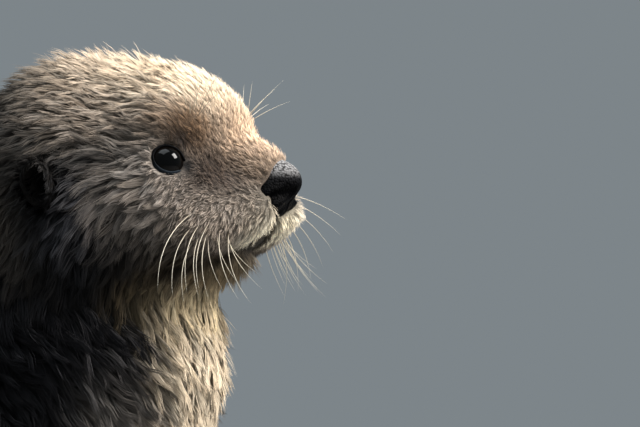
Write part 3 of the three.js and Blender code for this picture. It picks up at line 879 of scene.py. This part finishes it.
def nose_skin(p):
    """The greater of the pad's field and minus the nostril's, smoothed, with a shallow groove in the middle."""
    x, y, z = from_head(p)
    hollow = smooth_min(NOSTRIL(x, y, z), NOSTRIL_TAIL(x, y, z), 1.2)
    groove = 0.45 * np.exp(-((y / 0.8) ** 2)) * ease(-5, -9, z)
    return -smooth_min(-(nose_field(p) + groove), hollow, 1.0)


def nose_colour(tree, tops):
    """Black low down, dark grey half-way and a pale grey painted sheen on top of the pad, each darker between the
    cells.
    """
    share = share_of_height(tree, HEAD[2] - 6.2, HEAD[2] + 1.5)
    # painted sheen: the pad turns from black low down to pale grey on top, where it faces the light
    black_with_painted_sheen = ramp(tree, share, [
        (0.0, (0.0006, 0.0006, 0.0009)), (0.35, (0.010, 0.010, 0.011)), (1.0, (0.25, 0.245, 0.245))])
    # the painted sheen is brighter on the cells' tops and darker between them
    grain = ramp(tree, tops, [(0.0, 0.12), (0.5, 0.8), (1.0, 1.35)])
    return times(tree, black_with_painted_sheen, grain)


nose_grid = limb_grid(nose_skin, HEAD + [37.5, 0, -8], HEAD + [39.5, 0, -6.5], 84, 96)
nose_material = leather_look("nose_leather", roughness=0.5, specular=0.03, scale=1250, relief=0.9, depth=0.00025,
                             colour=nose_colour, drift=0.625)
join_shells("nose_leather", [nose_grid], nose_material, ["nose_pad"])
print("nose pad", (nose_grid.max((0, 1)) - nose_grid.min((0, 1))).round(1), "mm")

# %% [markdown]
# ## Ears
# The ear is a small thick funnel, low on the side of the head, its rear edge rolled forward over a dark
# hollow. One cross-section is carried round its oval rim: up the back of the wall, over the rounded edge and
# down inside to the bottom of the hollow. The wall stands highest behind and sinks into the cheek in front.

# %% Ear shape
EAR_STEPS = np.array([  # how far out from the rim's line, and how far up the wall, 0 at the base and 1 at the rim
    [-3.2, -0.9], [-0.6, -0.5], [0.3, 0.1], [0.7, 0.55], [0.65, 0.85], [0.35, 1.0], [-0.1, 1.02], [-0.5, 0.92],
    [-0.8, 0.6], [-1.4, 0.1], [-2.4, -0.5], [-3.6, -1.0]])


def ear_shell(side, columns=72):
    """An oval of 10.8 by 16.2 mm round the ear's way out, each step of the wall moved out and up from it. The
    wall is 3.2 - 2.6 cos v + 0.8 sin v mm high, and behind it leans in by up to 1.6 mm at the rim."""
    out = unit(np.array([0.30, 0.93 * side, -0.10]))
    up = unit(np.array([-0.18, 0, 1]) - out * (np.array([-0.18, 0, 1]) @ out))
    front = unit(np.cross(up, out) * side)
    v = round_ring(columns)
    wall = 3.2 - 2.6 * np.cos(v) + 0.8 * np.sin(v)
    lean = 1.6 * (1 - np.cos(v)) / 2
    ring = ring_ways(front, up * 1.5, columns)
    r = np.maximum(5.4 + EAR_STEPS[:, :1] - lean * np.clip(EAR_STEPS[:, 1:], 0, 1), 0.6)
    h = wall * EAR_STEPS[:, 1:]
    centre = HEAD + (EAR + [1.0, 1.5, 0]) * [1, side, 1]
    grid = centre + ring * r[..., None] + out * h[..., None]
    low, bottom = (centre - out * deep + 0 * grid[:1] for deep in (6, 4))
    return np.concatenate([low, grid, bottom])


def ear_colour(tree, tops):
    """Nearly black, a little lighter on the cells."""
    return ramp(tree, tops, [(0.0, (0.004, 0.003, 0.003)), (1.0, (0.008, 0.007, 0.006))])


ear_material = leather_look("skin_of_the_ears", roughness=0.8, specular=0.1, scale=900, relief=0.6, depth=0.00012,
                            colour=ear_colour)
ears = {}
for side, word in SIDES:
    ears[word] = ear_shell(side)
    join_shells(f"ear_{word}_fold", [ears[word]], ear_material, ["ear_" + word])
print("ears stand out to", ears["left"].max((0, 1)).round(1))

# %% [markdown]
# ## Claws
# Short curved claws barely show beyond the fur of the mittens, and longer ones sit on top of the webbed hind
# toes. A circle is carried along a small arc and shrinks to the tip, five to a foot.

# %% Claws
def claw_shell(root, heading, down, radius, length, rows=10, columns=12):
    """A circle of radius times (1 - t^1.6), carried along a line that drops by the square of t."""
    t = np.linspace(0, 1, rows + 1)[:, None, None]
    h, d = np.radians(heading), np.radians(down)
    ahead = np.array([np.cos(d) * np.cos(h), np.cos(d) * np.sin(h), -np.sin(d)])
    left = np.array([-np.sin(h), np.cos(h), 0])
    top = np.cross(ahead, left)
    r = radius * (1 - t**1.6) * ease(-0.02, 0.05, t)
    path = np.array(root) + ahead * length * t - top * 0.16 * length * t * t
    return path + r * ring_ways(left * 0.8, top, columns)


def horn_look():
    """Dark horn, paler towards the worn tip, with fine lines round it."""
    material, tree, shader = look("claw_horn", 0.32, 0.5)
    along = marked(tree, "to_tip").outputs["Fac"]
    lines = noise(tree, place_in_body(tree), 1500.0)
    colour = ramp(tree, along, [
        (0.0, (0.018, 0.014, 0.012)), (0.6, (0.035, 0.028, 0.023)), (1.0, (0.11, 0.09, 0.07))])
    tree.links.new(colour, shader.inputs["Base Color"])
    bump(tree, shader, lines.outputs["Fac"], 0.3, 0.0001)
    return material


horn = horn_look()
# root, heading and drop in degrees, radius and length
fore = [([-8 - 1.6 * i * i, 52 + 6 * i, 7.6], 7 * i, 16, 1.15, 7.6) for i in range(-2, 3)]
hind = []
for across in (0.03, 0.25, 0.5, 0.75, 0.97):
    x, y = flipper_at(across, 0.945)
    heading = FLIPPER["heading"] + FLIPPER["spread"] * (2 * across - 1)
    hind.append(([x, y, 4.2], heading, 10, 1.4, 8.6))
for side, word in SIDES:
    for group, claws in (("fore", fore), ("hind", hind)):
        grids = [claw_shell(*claw) * [1, side, 1] for claw in claws]
        join_shells(f"{group}_claws_{word}", grids, horn, [f"{group}_claw_{n}_{word}" for n in range(1, 6)],
                    mark=("to_tip", [share_of_rows(grid) for grid in grids]))
print("claws:", 2 * len(fore + hind))

# %% [markdown]
# ## The coat
# Hair could be drawn as curves, but this model has to be solid mesh. So each small lock is a closed spindle:
# a point at the root, one or two three-cornered rings and a point at the tip. Locks are not spread evenly:
# a jittered lattice of tuft centres draws the tips of neighbouring locks together, and each tuft has its own
# lift, bend and shade, which gives the coat its pointed, overlapping tufts.

# %% Tufts
def chance(cell, salt):
    """A number from 0 to 1 for every whole-number cell: its counts times large primes, folded together."""
    i = cell.astype(np.int64)
    h = (i[..., 0] * 73856093) ^ (i[..., 1] * 19349663) ^ (i[..., 2] * 83492791) ^ (salt * 374761393)
    h = ((h ^ (h >> 13)) * 1274126177) & 0xFFFFFFFF
    h = ((h ^ (h >> 16)) * 668265263) & 0xFFFFFFFF
    return ((h ^ (h >> 15)) & 0xFFFFFF) / 0xFFFFFF


def tufts(p, size, salt):
    """For each root the nearest jittered lattice point: the way to it, and the cell it belongs to."""
    base = np.floor(p / size)
    best, toward, owner = np.full(len(p), 1e9), np.zeros_like(p), base.copy()
    for offset in np.array(np.meshgrid([-1, 0, 1], [-1, 0, 1], [-1, 0, 1])).reshape(3, -1).T:
        cell = base + offset
        centre = (cell + np.stack([chance(cell, salt + k) for k in range(3)], -1)) * size
        gap = np.sum((centre - p) ** 2, -1)
        nearer = gap < best
        best = np.where(nearer, gap, best)
        toward[nearer] = (centre - p)[nearer]
        owner[nearer] = cell[nearer]
    return toward, owner


print("numbers of three cells in a row:", chance(np.array([[0, 0, 0], [1, 0, 0], [2, 0, 0]]), 1).round(2))

# %% Roots spread over a shell
def shell_frame(grid):
    """Outward direction and the way along the rows at every grid point, from differences of neighbours."""
    down = np.gradient(grid, axis=0)
    across = np.roll(grid, -1, 1) - np.roll(grid, 1, 1)
    out = unit(np.cross(across, down))
    middle = grid.mean(1, keepdims=True)
    return out * (-1 if np.mean(dot(out, grid - middle)) < 0 else 1), unit(down)


def sow(grid, window, count, density, rng):
    """Roots at random over part of a shell, more where cells are larger and the density is higher."""
    rows, columns = grid.shape[0] - 1, grid.shape[1]
    out, along = shell_frame(grid)
    nxt = np.roll(grid, -1, 1)
    area = np.linalg.norm(np.cross(grid[1:] - grid[:-1], nxt[:-1] - grid[:-1]), axis=-1)
    centre = (grid[:-1] + grid[1:] + nxt[:-1] + nxt[1:]) / 4
    r = (np.arange(rows) + 0.5)[:, None] / rows
    c = (np.arange(columns) + 0.5)[None, :] / columns
    inside = (r >= window[0]) & (r < window[2]) & (c >= window[1]) & (c < window[3])
    weight = (area * density(centre) * inside).ravel()
    print("   area", round(float((area * inside).sum())), "mm2 for", count, "roots")
    pick = rng.choice(len(weight), count, p=weight / weight.sum())
    i, j = pick // columns, pick % columns
    a, b = rng.random(count)[:, None], rng.random(count)[:, None]
    k = (j + 1) % columns
    blend = lambda g: ((1 - a) * (1 - b) * g[i, j] + a * (1 - b) * g[i + 1, j]
                       + (1 - a) * b * g[i, k] + a * b * g[i + 1, k])
    chart = np.column_stack([(i + a[:, 0]) / rows, (j + b[:, 0]) / columns])
    chart = (chart - [window[0], window[1]]) / [window[2] - window[0], window[3] - window[1]]
    return blend(grid), unit(blend(out)), unit(blend(along)), 0.01 + 0.98 * chart


print("way out on the crown:", shell_frame(body)[0][NOSE_ROWS + HEAD_ROWS // 2, 0].round(2))

# %% Shape of the locks
RINGS = {1: ([0.42], [1.0]), 2: ([0.28, 0.66], [1.0, 0.78])}  # where the rings sit, and their shares of the width


def locks(rings, roots, out, lie, length, height, width, toward, curl, bow, hook, lean):
    """Path of a lock: root + lie L t + out H (c t + (1 - c) t (2 - t)) + toward t^1.15 + side (B sin(pi t) + K t^2).
    A three-cornered ring, wider than thick, sits at each inner step, and both ends are points. The shading
    direction of each point leans from the lock's own towards that of the skin, and away from the middle of the
    tuft, because light goes through single hairs and shows the roundness of the tuft."""
    side = unit(np.cross(out, lie))
    def path(t):
        lift = height * (curl * t + (1 - curl) * t * (2 - t)) - 0.25 * (1 - t)
        return (roots + lie * (length * t)[:, None] + out * lift[:, None] + toward * (t**1.15)[:, None]
                + side * (bow * np.sin(np.pi * t) + hook * t * t)[:, None])
    count, (steps, fat) = len(roots), RINGS[rings]
    def top(t):
        """Out of the lock at t: the skin's way out, less 0.6 of how far it lies along the lock there."""
        ahead = unit(path(np.full(count, min(t + 0.1, 1))) - path(np.full(count, max(t - 0.1, 0))))
        return unit(out + lean - 0.6 * ahead * dot(out, ahead))
    parts, ways = [path(np.zeros(count))[:, None]], [top(0)[:, None]]
    for t, wide in zip(steps, fat):
        centre, over = path(np.full(count, t)), top(t)
        w, h = (side * (width * wide / 2)[:, None]), (out * (width * wide * 0.45)[:, None])
        parts.append(np.stack([centre - w - h * 0.4, centre + h, centre + w - h * 0.4], 1))
        ways.append(unit(np.stack([over - 0.45 * side, over, over + 0.45 * side], 1)))
    parts.append(path(np.ones(count))[:, None])
    ways.append(top(1)[:, None])
    points, normals = np.concatenate(parts, 1), np.concatenate(ways, 1)
    marks = np.array([0.0] + [t for t in steps for _ in range(3)] + [1.0])
    a = [[0, 1, 2], [0, 2, 3], [0, 3, 1]]
    if rings == 2:
        a += [[1, 5, 2], [1, 4, 5], [2, 6, 3], [2, 5, 6], [3, 4, 1], [3, 6, 4]]
    last, tip = 1 + 3 * (rings - 1), 1 + 3 * rings
    a += [[last, tip, last + 1], [last + 1, tip, last + 2], [last + 2, tip, last]]
    faces = np.array(a)[None] + (np.arange(count) * points.shape[1])[:, None, None]
    return points, normals, faces.reshape(-1, 3), marks


def coat_piece(seed, name, material, slot, sheet, window, count, density, style, rings):
    """Sows roots, asks the style for their measures, builds the locks and joins them into one piece. Locks of
    the under layer are shorter, lower and darker as painted shade, with a single ring; wild ones stand out and are
    thinner."""
    rng = np.random.default_rng(seed)
    roots, out, along, chart = sow(sheet, window, int(count * THIN), density, rng)
    keep = style["keep"](roots)
    roots, out, along, chart = roots[keep], out[keep], along[keep], chart[keep]
    n = len(roots)
    small, owner = tufts(roots, style["small"], seed)
    big_owner = tufts(roots, style["large"], seed + 50)[1]
    flat = lambda v: v - out * dot(v, out)
    own = lambda k: chance(owner, 100 + k)
    big = lambda k: chance(big_owner, 200 + k)
    lie = unit(flat(style["lie"](roots, along)))
    side = np.cross(out, lie)
    under = rng.random(n) < style["under"]
    turn = style["stray"] * (own(0) - 0.5 + 0.7 * (big(0) - 0.5)) + 0.14 * (rng.random(n) - 0.5)
    lie = lie * np.cos(turn)[:, None] + side * np.sin(turn)[:, None]
    length = style["length"](roots) * (0.78 + 0.44 * own(1)) * (0.92 + 0.16 * rng.random(n))
    length = length * np.where(under, 0.75, 1)
    wild = ~under & (rng.random(n) < style["wild"])
    height = style["height"](roots) * (0.45 + 0.9 * own(2) ** 2 + 0.3 * big(2)) * (0.9 + 0.2 * rng.random(n))
    height = height * np.where(under, 0.55, np.where(wild, 1.4, 1))
    width = style["width"](roots) * (0.8 + 0.4 * rng.random(n)) * np.where(wild, 0.7, 1)
    toward = flat(small) * style["draw"] * np.where(under, 0.3, 1)[:, None]
    bow = length * (style["sway"] * (own(3) - 0.5) + 0.05 * (rng.random(n) - 0.5))
    hook = length * style["sway"] * 1.2 * (own(7) - 0.5)
    curl = 0.2 + 0.8 * own(4)
    lean = side * (-style["round"] * dot(small, side) / style["small"])
    shade = (0.72 + 0.40 * own(5) + 0.18 * big(5)) * (1 + style["grain"] * (rng.random(n) - 0.5))
    # painted shade: locks of the under layer keep only the style's deep share of their brightness
    shade = shade * np.where(under, style["deep"], 1)
    colour = markings(roots, footness(roots, name)) * shade[:, None]
    colour = colour * (1 + (own(6)[:, None] - 0.5) * [0.05, 0.0, -0.06])
    points, normals, faces, uv, tint, first = [], [], [], [], [], 0
    for layer, steps in ((~under, rings), (under, 1)):
        measures = (roots, out, lie, length, height, width, toward, curl, bow, hook, lean)
        p, ways, f, marks = locks(steps, *(values[layer] for values in measures))
        p[..., 2] = np.maximum(p[..., 2], HAIR_CLEAR)
        across = np.array([0.5] + [0.1, 0.5, 0.9] * steps + [0.5])
        patch = chart[layer][:, None, :] + 0.003 * np.stack([marks - 0.5, across - 0.5], -1)[None]
        points.append(p.reshape(-1, 3))
        normals.append(ways.reshape(-1, 3))
        faces.append(f + first)
        uv.append(patch.reshape(-1, 2)[f.ravel()])
        tint.append(np.column_stack([np.repeat(colour[layer], len(marks), 0), np.tile(marks, layer.sum())]))
        first += len(points[-1])
    points, normals, faces, uv, tint = map(np.concatenate, (points, normals, faces, uv, tint))
    piece = new_piece("coat_" + name, points, [faces], uv, "OFBake", fur_materials[material], normals)
    mark_points(piece, "tint", tint)
    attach(piece, "root")
    print(piece.name, n, "locks,", len(faces), "triangles")
    return len(faces)


print("points of a lock, by its rings:", {rings: 3 * rings + 2 for rings in RINGS})

# %% [markdown]
# ## Measures of the coat
# On the face the hair is two to three millimetres long and lies flat, radiating from the nose. It grows
# longer over the crown and cheeks, sweeping back, and longest on the neck and chest, where it hangs down in
# points. Round the eye it turns aside. Each measure is a formula of the place on the body.

# %% How the hair lies
def lie_of_coat(p, along):
    """The way along the rows; on the face also out from the eye near it, sideways on the crown and down on the
    cheek; on the neck down and ahead; on the trunk back and down. Each part fades into the next."""
    x, _, z = from_head(p)
    side = np.sign(p[:, 1])
    put = lambda a, b, c: np.stack([a + 0 * x, b + 0 * x, c + 0 * x], -1)
    from_eye = p - (HEAD + put(EYE_SURFACE[0], EYE_SURFACE[1] * side, EYE_SURFACE[2]))
    close = np.exp(-((np.linalg.norm(from_eye, axis=-1) / 10) ** 2))
    face = along + unit(from_eye) * (1.6 * close)[:, None]
    face = face + put(0, side * 0.30 * ease(10, 30, z), 0)
    face = face + put(0, 0, -1.5 * ease(4, -34, z) * ease(34, 12, x) - 0.9 * ease(22, 30, x) * ease(-6, -16, z))
    round_ear = near(p, EAR + [5, 0, 2], 11, 2)
    face = face + put(0.5 * round_ear, 0, -1.6 * round_ear)
    neck = put(0.95, 0, -0.9)
    trunk = along + put(-1.5 * ease(-535, -560, p[:, 0]), 0, -0.45 * ease(-380, -300, p[:, 0]))
    to_neck = ease(-32, -52, z)[:, None]
    to_trunk = np.maximum(ease(-70, -120, p[:, 0]), ease(120, 80, p[:, 2]))[:, None]
    return mix(mix(face, neck, to_neck), trunk, to_trunk * to_neck)


def face_length(p):
    """From 11 mm on crown and cheeks to 2.9 on the muzzle, 12.2 under the jaw and 2.6 more under the chin; up to
    0.45 shorter round the ears and 0.66 round the eyes."""
    x, _, z = from_head(p)
    long = mix(11.0, 2.9, ease(-6, 24, x))
    long = mix(long, 12.2, ease(-26, -60, z) * ease(30, 10, x))
    long = long + 2.6 * ease(-28, -33, z) * ease(8, 20, x)
    long = long * (1 - 0.45 * near(p, EAR, 11, 2))
    return long * (1 - 0.66 * near(p, EYE_SURFACE, 9.5, 2))


def face_width(p):
    """0.14 mm and a fiftieth of the length."""
    return 0.14 + 0.020 * face_length(p)


def bare(p):
    """False over the eyes, the nose pad, the line of the mouth and the inside of the ears."""
    x, y, z = from_head(p)
    out, front, down = eye_axes(1)
    d = np.stack([x, y, z], -1) - EYE
    f, u = d @ front, d @ down
    eye_clear = (np.hypot(f, u) > lid_opening(np.arctan2(u, f)) + 0.35) | (d @ out < 0)
    ear_clear = away_from(p, EAR) > 4.0
    mouth_clear = (mouth_distance(p) > 0.5) & (cleft(x, y, z) < 0.6) | (x < 12)
    return eye_clear & ear_clear & mouth_clear & (nose_field(p) > 0.1)


def coat_height(p):
    """0.95 of the skin's depth, but 0.58 of it on the neck, and a quarter less over the back of the crown."""
    x, z = p[..., 0], p[..., 2] - HEAD[2]
    share = mix(0.95, 0.58, ease(-30, -66, z) * ease(-150, -110, x))
    return coat_depth(p) * share * mix(1, 0.75, ease(-20, -50, x) * ease(10, 30, z))


even = lambda value: lambda p: value + 0 * p[:, 0]  # the same measure everywhere
over_head = lambda p: p[:, 2] - HEAD[2]
# deep is the share of brightness left to the under layer of locks, as painted shade
FACE = dict(small=3.7, large=9.0, stray=0.9, draw=0.94, sway=0.30, under=0.42, grain=0.6, round=0.9, wild=0.03,
            deep=0.7, lie=lie_of_coat, length=face_length, height=coat_height, width=face_width, keep=bare)
CROWN = dict(FACE, small=3.0, draw=0.85, under=0.45, grain=0.35, deep=0.95, wild=0.05,
             length=lambda p: 0.85 * face_length(p),
             height=lambda p: coat_height(p) * mix(1, 1.1, ease(20, 34, over_head(p))))
CHEEK = dict(FACE, small=3.5, stray=0.5, sway=0.32, length=lambda p: 1.15 * face_length(p))
MUZZLE = dict(FACE, small=1.4, large=4.0, stray=0.6, draw=0.3, under=0.25, grain=1.1, round=0.4, wild=0.0,
              width=even(0.17), length=lambda p: face_length(p) + 1.2 * beside_nose(p),
              height=lambda p: 0.5 + coat_depth(p) * 0.85 + 3.0 * ease(-27, -33, over_head(p)) + 1.2 * beside_nose(p))
NECK = dict(FACE, small=4.3, large=12.0, stray=0.5, grain=0.4, deep=0.8, length=even(13.5), width=even(0.46))
TRUNK = dict(NECK, small=6.5, large=18.0, stray=0.7, width=even(1.1),
             length=lambda p: mix(mix(16.0, 11.0, ease(-330, -420, p[:, 0])), 5.0, ease(-520, -562, p[:, 0])))
LEG = dict(TRUNK, small=4.5, large=12.0, width=even(0.9), length=lambda p: mix(4.0, 12.0, ease(10, 70, p[:, 2])),
           height=lambda p: mix(1.2, 5.5, ease(10, 70, p[:, 2])))
FOOT = dict(TRUNK, small=2.0, large=7.0, stray=0.5, draw=0.5, length=even(3.4), height=even(0.9), width=even(0.5))
EARS = dict(FACE, small=2.0, large=6.0, stray=0.5, draw=0.8, under=0.1, length=even(3.6), height=even(0.9),
            width=even(0.26), lie=lambda p, along: along + [-0.4, 0, -0.5], keep=lambda p: np.full(len(p), True))
print("on the crown hair is", CROWN["length"](HEAD[None] + [-20, 0, 45]).round(1), "mm long")

# %% Growing the coat
def row_share(section):
    """How far along the body's rows a section of the spine comes, from 0 to 1."""
    ahead = min(section, HEAD_SECTIONS) / HEAD_SECTIONS
    behind = max(section - HEAD_SECTIONS, 0) / (LAST - HEAD_SECTIONS)
    return (NOSE_ROWS + HEAD_ROWS * ahead + TRUNK_ROWS * behind) / (len(ROWS[0]) - 1)


THIN = 1.0
WHOLE = (0, 0, 1, 1)
level = lambda p: np.ones(p.shape[:-1])
ahead = lambda p: mix(1.0, 1.9, ease(0, 24, p[..., 0]))
eyes, nape, chest, hip = row_share(2.6), row_share(8.0), row_share(10.2), row_share(16.5)
plan = [  # name, material, slot, shell, window of rows and columns, roots, density, style, rings
    ("muzzle", "muzzle", "crown_fur", body, (0.0, 0, eyes, 1), 29000, ahead, MUZZLE, 1),
    ("crown_right", "crown", "crown_fur", body, (eyes, 0, nape, 0.2), 19000, ahead, CROWN, 2),
    ("cheek_right", "cheek", "crown_fur", body, (eyes, 0.2, nape, 0.5), 16000, ahead, CHEEK, 2),
    ("cheek_left", "cheek", "crown_fur", body, (eyes, 0.5, nape, 0.8), 16000, ahead, CHEEK, 2),
    ("crown_left", "crown", "crown_fur", body, (eyes, 0.8, nape, 1.0), 19000, ahead, CROWN, 2),
    ("neck_right", "chest", "chest_fur", body, (nape, 0, chest, 0.5), 14200, level, NECK, 2),
    ("neck_left", "chest", "chest_fur", body, (nape, 0.5, chest, 1.0), 14200, level, NECK, 2),
    ("trunk_right", "back", "back_fur", body, (chest, 0, hip, 0.5), 12000, level, TRUNK, 1),
    ("trunk_left", "back", "back_fur", body, (chest, 0.5, hip, 1.0), 12000, level, TRUNK, 1),
    ("rump_right", "back", "back_fur", body, (hip, 0, 1.0, 0.5), 9000, level, TRUNK, 1),
    ("rump_left", "back", "back_fur", body, (hip, 0.5, 1.0, 1.0), 9000, level, TRUNK, 1),
]
for word in ("left", "right"):
    for part, material, slot, count, style in (
            ("foreleg", "back", "back_fur", 2200, LEG), ("thigh", "back", "back_fur", 2800, LEG),
            ("forepaw", "foot", "foot", 1800, FOOT), ("flipper", "foot", "foot", 2800, FOOT)):
        name = f"{part}_{word}"
        plan.append((name, material, slot, sheets[name], WHOLE, count, level, style, 1))
for word in ("left", "right"):
    plan.append(("ear_" + word, "crown", "crown_fur", ears[word], (0.05, 0, 0.46, 1), 900, level, EARS, 1))
triangles = sum(coat_piece(seed, *row) for seed, row in enumerate(plan, 1))
print("coat:", triangles, "triangles")

# %% [markdown]
# ## Whiskers
# Stiff pale bristles stand in rows on the whisker pads, and a few over each eye. Each is a thin tube carried
# along a curve that leaves the skin sideways and droops, its radius falling to nothing at the tip.

# %% Whisker shape
TURN = np.radians(20)  # the camera's turn from square to the animal's side; whiskers are given in its plane


def pad_root(x, z):
    """Where the pad's skin is at a given x and z: a ray sent straight out sideways from inside the muzzle."""
    start = HEAD + np.array([[x, 6.0, z]])
    return (leave(body_skin, start, np.array([[0, 1.0, 0]])) - HEAD)[0]


def whisker(root, angle, out, length, bend, turn):
    """Way from an angle in a plane turned a little to the front, 0 back, 90 down, 180 ahead, and a share
    outwards. It bends ahead and down by the square of the way along. Returns ten numbers."""
    a, b = np.cos(turn), np.sin(turn)
    back, down = np.cos(np.radians(angle)), np.sin(np.radians(angle))
    way = [-back * a + out * b, back * b + out * a, -down]
    return np.array([*root, *way, bend[0] * a, -bend[0] * b, bend[1], length])


def pad_whiskers(front_columns):
    """Nine in rows and four between them, each column from the back of the pad to its front pointing further
    down than the last and shorter; then the given number on the pad's front, which point ahead."""
    uneven = np.random.default_rng(5)
    made = []
    between = [(0.5, 0.5), (1.5, 0.5), (1.5, 1.5), (0.6, 1.6)]
    for row, column in [(r, c) for c in (0, 1, 2) for r in (0, 1, 2)] + between:
        root = pad_root(24.5 + 4.6 * column - 0.5 * row, -15.5 - 3.3 * column - 5.0 * row + 2.2 * column * row)
        angle = 30 + 26 * column + 13 * row + 8 * (uneven.random() - 0.5)
        length = (36 - 3.5 * column - 6 * row) * (0.92 + 0.16 * uneven.random())
        made.append(whisker(root, angle, 0.75 - 0.1 * column, length, (0.40, -0.28 + 0.18 * column), TURN))
    for k in range(front_columns):
        root = pad_root(38.5 - 0.9 * k, -8.5 - 2.6 * k)
        made.append(whisker(root, 170 - 8.5 * k, 0.45, 26 - 0.5 * k, (-0.03 - 0.06 * k, -0.22 - 0.015 * k), -TURN))
    return made


def brow_whiskers():
    """Six over each eye, fanned upwards and ahead: root, way and length, all with the same droop."""
    ways = [[21.0, 24.5, 22, 0.05, 0.20, 1.0, 13], [22.0, 24.0, 20.5, 0.50, 0.35, 0.75, 20],
            [20.0, 26.0, 20, 0.45, 0.55, 0.75, 18], [22.0, 25.5, 18.5, 0.60, 0.50, 0.50, 18],
            [19.5, 27.0, 18.5, 0.30, 0.70, 0.55, 15], [18.0, 26.0, 21.5, -0.1, 0.40, 0.90, 14]]
    return [np.array(w[:6] + [0, 0, -0.14] + w[6:]) for w in ways]


def whisker_grid(spec, side, rows=14, columns=6):
    """Path: root + L (way (1.06 t - 0.06) + bend t^2), begun under the skin; radius times (1 - t)^0.8."""
    root, way, bend, length = spec[:3], unit(spec[3:6]), spec[6:9], spec[9]
    t = np.linspace(0, 1, rows + 1)[:, None]
    path = HEAD + root + length * (way * (t * 1.06 - 0.06) + bend * t * t)
    tangent = unit(np.gradient(path, axis=0))
    left = unit(np.cross(tangent, [0.2, 0.1, 1.0]))
    over = np.cross(left, tangent)
    v = round_ring(columns)
    thick = (0.092 + 0.0032 * length) * (1 - t[:, 0]) ** 0.8
    ring = left[:, None] * np.cos(v)[None, :, None] + over[:, None] * np.sin(v)[None, :, None]
    grid = path[:, None] + ring * thick[:, None, None]
    grid[0] = path[0]
    return grid * [1, side, 1]


def whisker_look():
    """Pale straw, a little see-through in life, so soft-edged gloss over a light colour, browner at the root."""
    material, tree, shader = look("whisker", 0.35, 0.5)
    colour = ramp(tree, marked(tree, "to_tip").outputs["Fac"], [
        (0.0, paint(120, 104, 84)), (0.3, paint(216, 204, 180)), (1.0, paint(232, 224, 204))])
    tree.links.new(colour, shader.inputs["Base Color"])
    return material


bristle = whisker_look()
for side, word in SIDES:
    specs = pad_whiskers(7 if word == "left" else 0) + brow_whiskers()
    grids = [whisker_grid(spec, side) for spec in specs]
    join_shells("whiskers_" + word, grids, bristle, mark=("to_tip", [share_of_rows(grid) for grid in grids]))
    print("whiskers", word, len(specs))

# %% [markdown]
# ## Floor, light and camera
# A pale floor that stops well behind the animal, a large soft key light ahead of it and above, a weak wide
# fill from the other side, and a pale surround. The camera is level with the throat, turned twenty degrees
# from the animal's side, with a long lens so that the head keeps its true proportions.

# %% Floor
FLOOR_RADIUS, FLOOR_SIDES = 1.5, 96  # in metres
a = round_ring(FLOOR_SIDES)
floor_mesh = bpy.data.meshes.new("floor")
floor_mesh.from_pydata(np.column_stack([FLOOR_RADIUS * np.cos(a), FLOOR_RADIUS * np.sin(a), 0 * a - 0.0001]).tolist(),
                       [], [list(range(FLOOR_SIDES))])
floor = in_scene("floor", floor_mesh)
floor_material, tree, shader = look("pale_floor", 0.9, 0.1)
grain = noise(tree, place_in_body(tree), 60.0).outputs["Fac"]
tree.links.new(ramp(tree, grain, [(0.0, 0.28), (1.0, 0.32)]), shader.inputs["Base Color"])
floor_mesh.materials.append(floor_material)

# %% Light
world = bpy.data.worlds.new("surround")
world.use_nodes = True
set_inputs(world.node_tree.nodes["Background"], Color=(0.57, 0.65, 0.70, 1), Strength=0.36)
scene = bpy.context.scene
scene.world = world
RIGHT = np.array([np.cos(TURN), np.sin(TURN), 0])  # the camera's own right, way of looking and up
LOOK = np.array([-np.sin(TURN), np.cos(TURN), 0])
UP = np.array([0, 0, 1.0])
middle = (HEAD + SHIFT) * MM


def soft_light(name, way, distance, size, power, colour, glossy=True):
    """A square lamp facing the head from a direction: distance and size in metres, power in watts."""
    lamp = bpy.data.lights.new(name, "AREA")
    lamp.size, lamp.energy, lamp.color = size, power, colour
    z = unit(np.array(way, float))
    x = unit(np.cross([0, 0, 1.0], z))
    in_scene(name, lamp, facing(x, np.cross(z, x), z, middle + z * distance)).visible_glossy = glossy
    print(name, "light of", power, "W")


soft_light("key", 0.84 * RIGHT + 0.74 * UP - 0.16 * LOOK, distance=1.1, size=0.45, power=24, colour=(1.0, 0.96, 0.92))
soft_light("top", -0.10 * RIGHT + 1.0 * UP - 0.1 * LOOK, distance=1.4, size=1.0, power=12, colour=(0.90, 0.96, 1.0))
# the fill lights the fur, and shows no second window in the eye
soft_light("fill", 0.80 * RIGHT - 0.02 * UP - 0.60 * LOOK, distance=1.8, size=1.2, power=4.5,
           colour=(0.96, 0.98, 1.0), glossy=False)

# %% Camera
AHEAD, BELOW, DISTANCE = 54.36, 15.66, 960  # from the middle of the skull, in mm
look_at = HEAD + SHIFT + AHEAD * RIGHT - BELOW * UP
camera_at = look_at - DISTANCE * LOOK
camera_data = bpy.data.cameras.new("camera")
camera_data.lens, camera_data.sensor_width = 150, 36
camera_data.clip_start = 0.05
scene.camera = in_scene("camera", camera_data, facing(RIGHT, UP, -LOOK, camera_at * MM))
scene.view_settings.view_transform = "Standard"
print("camera at", camera_at.round(0), "mm")
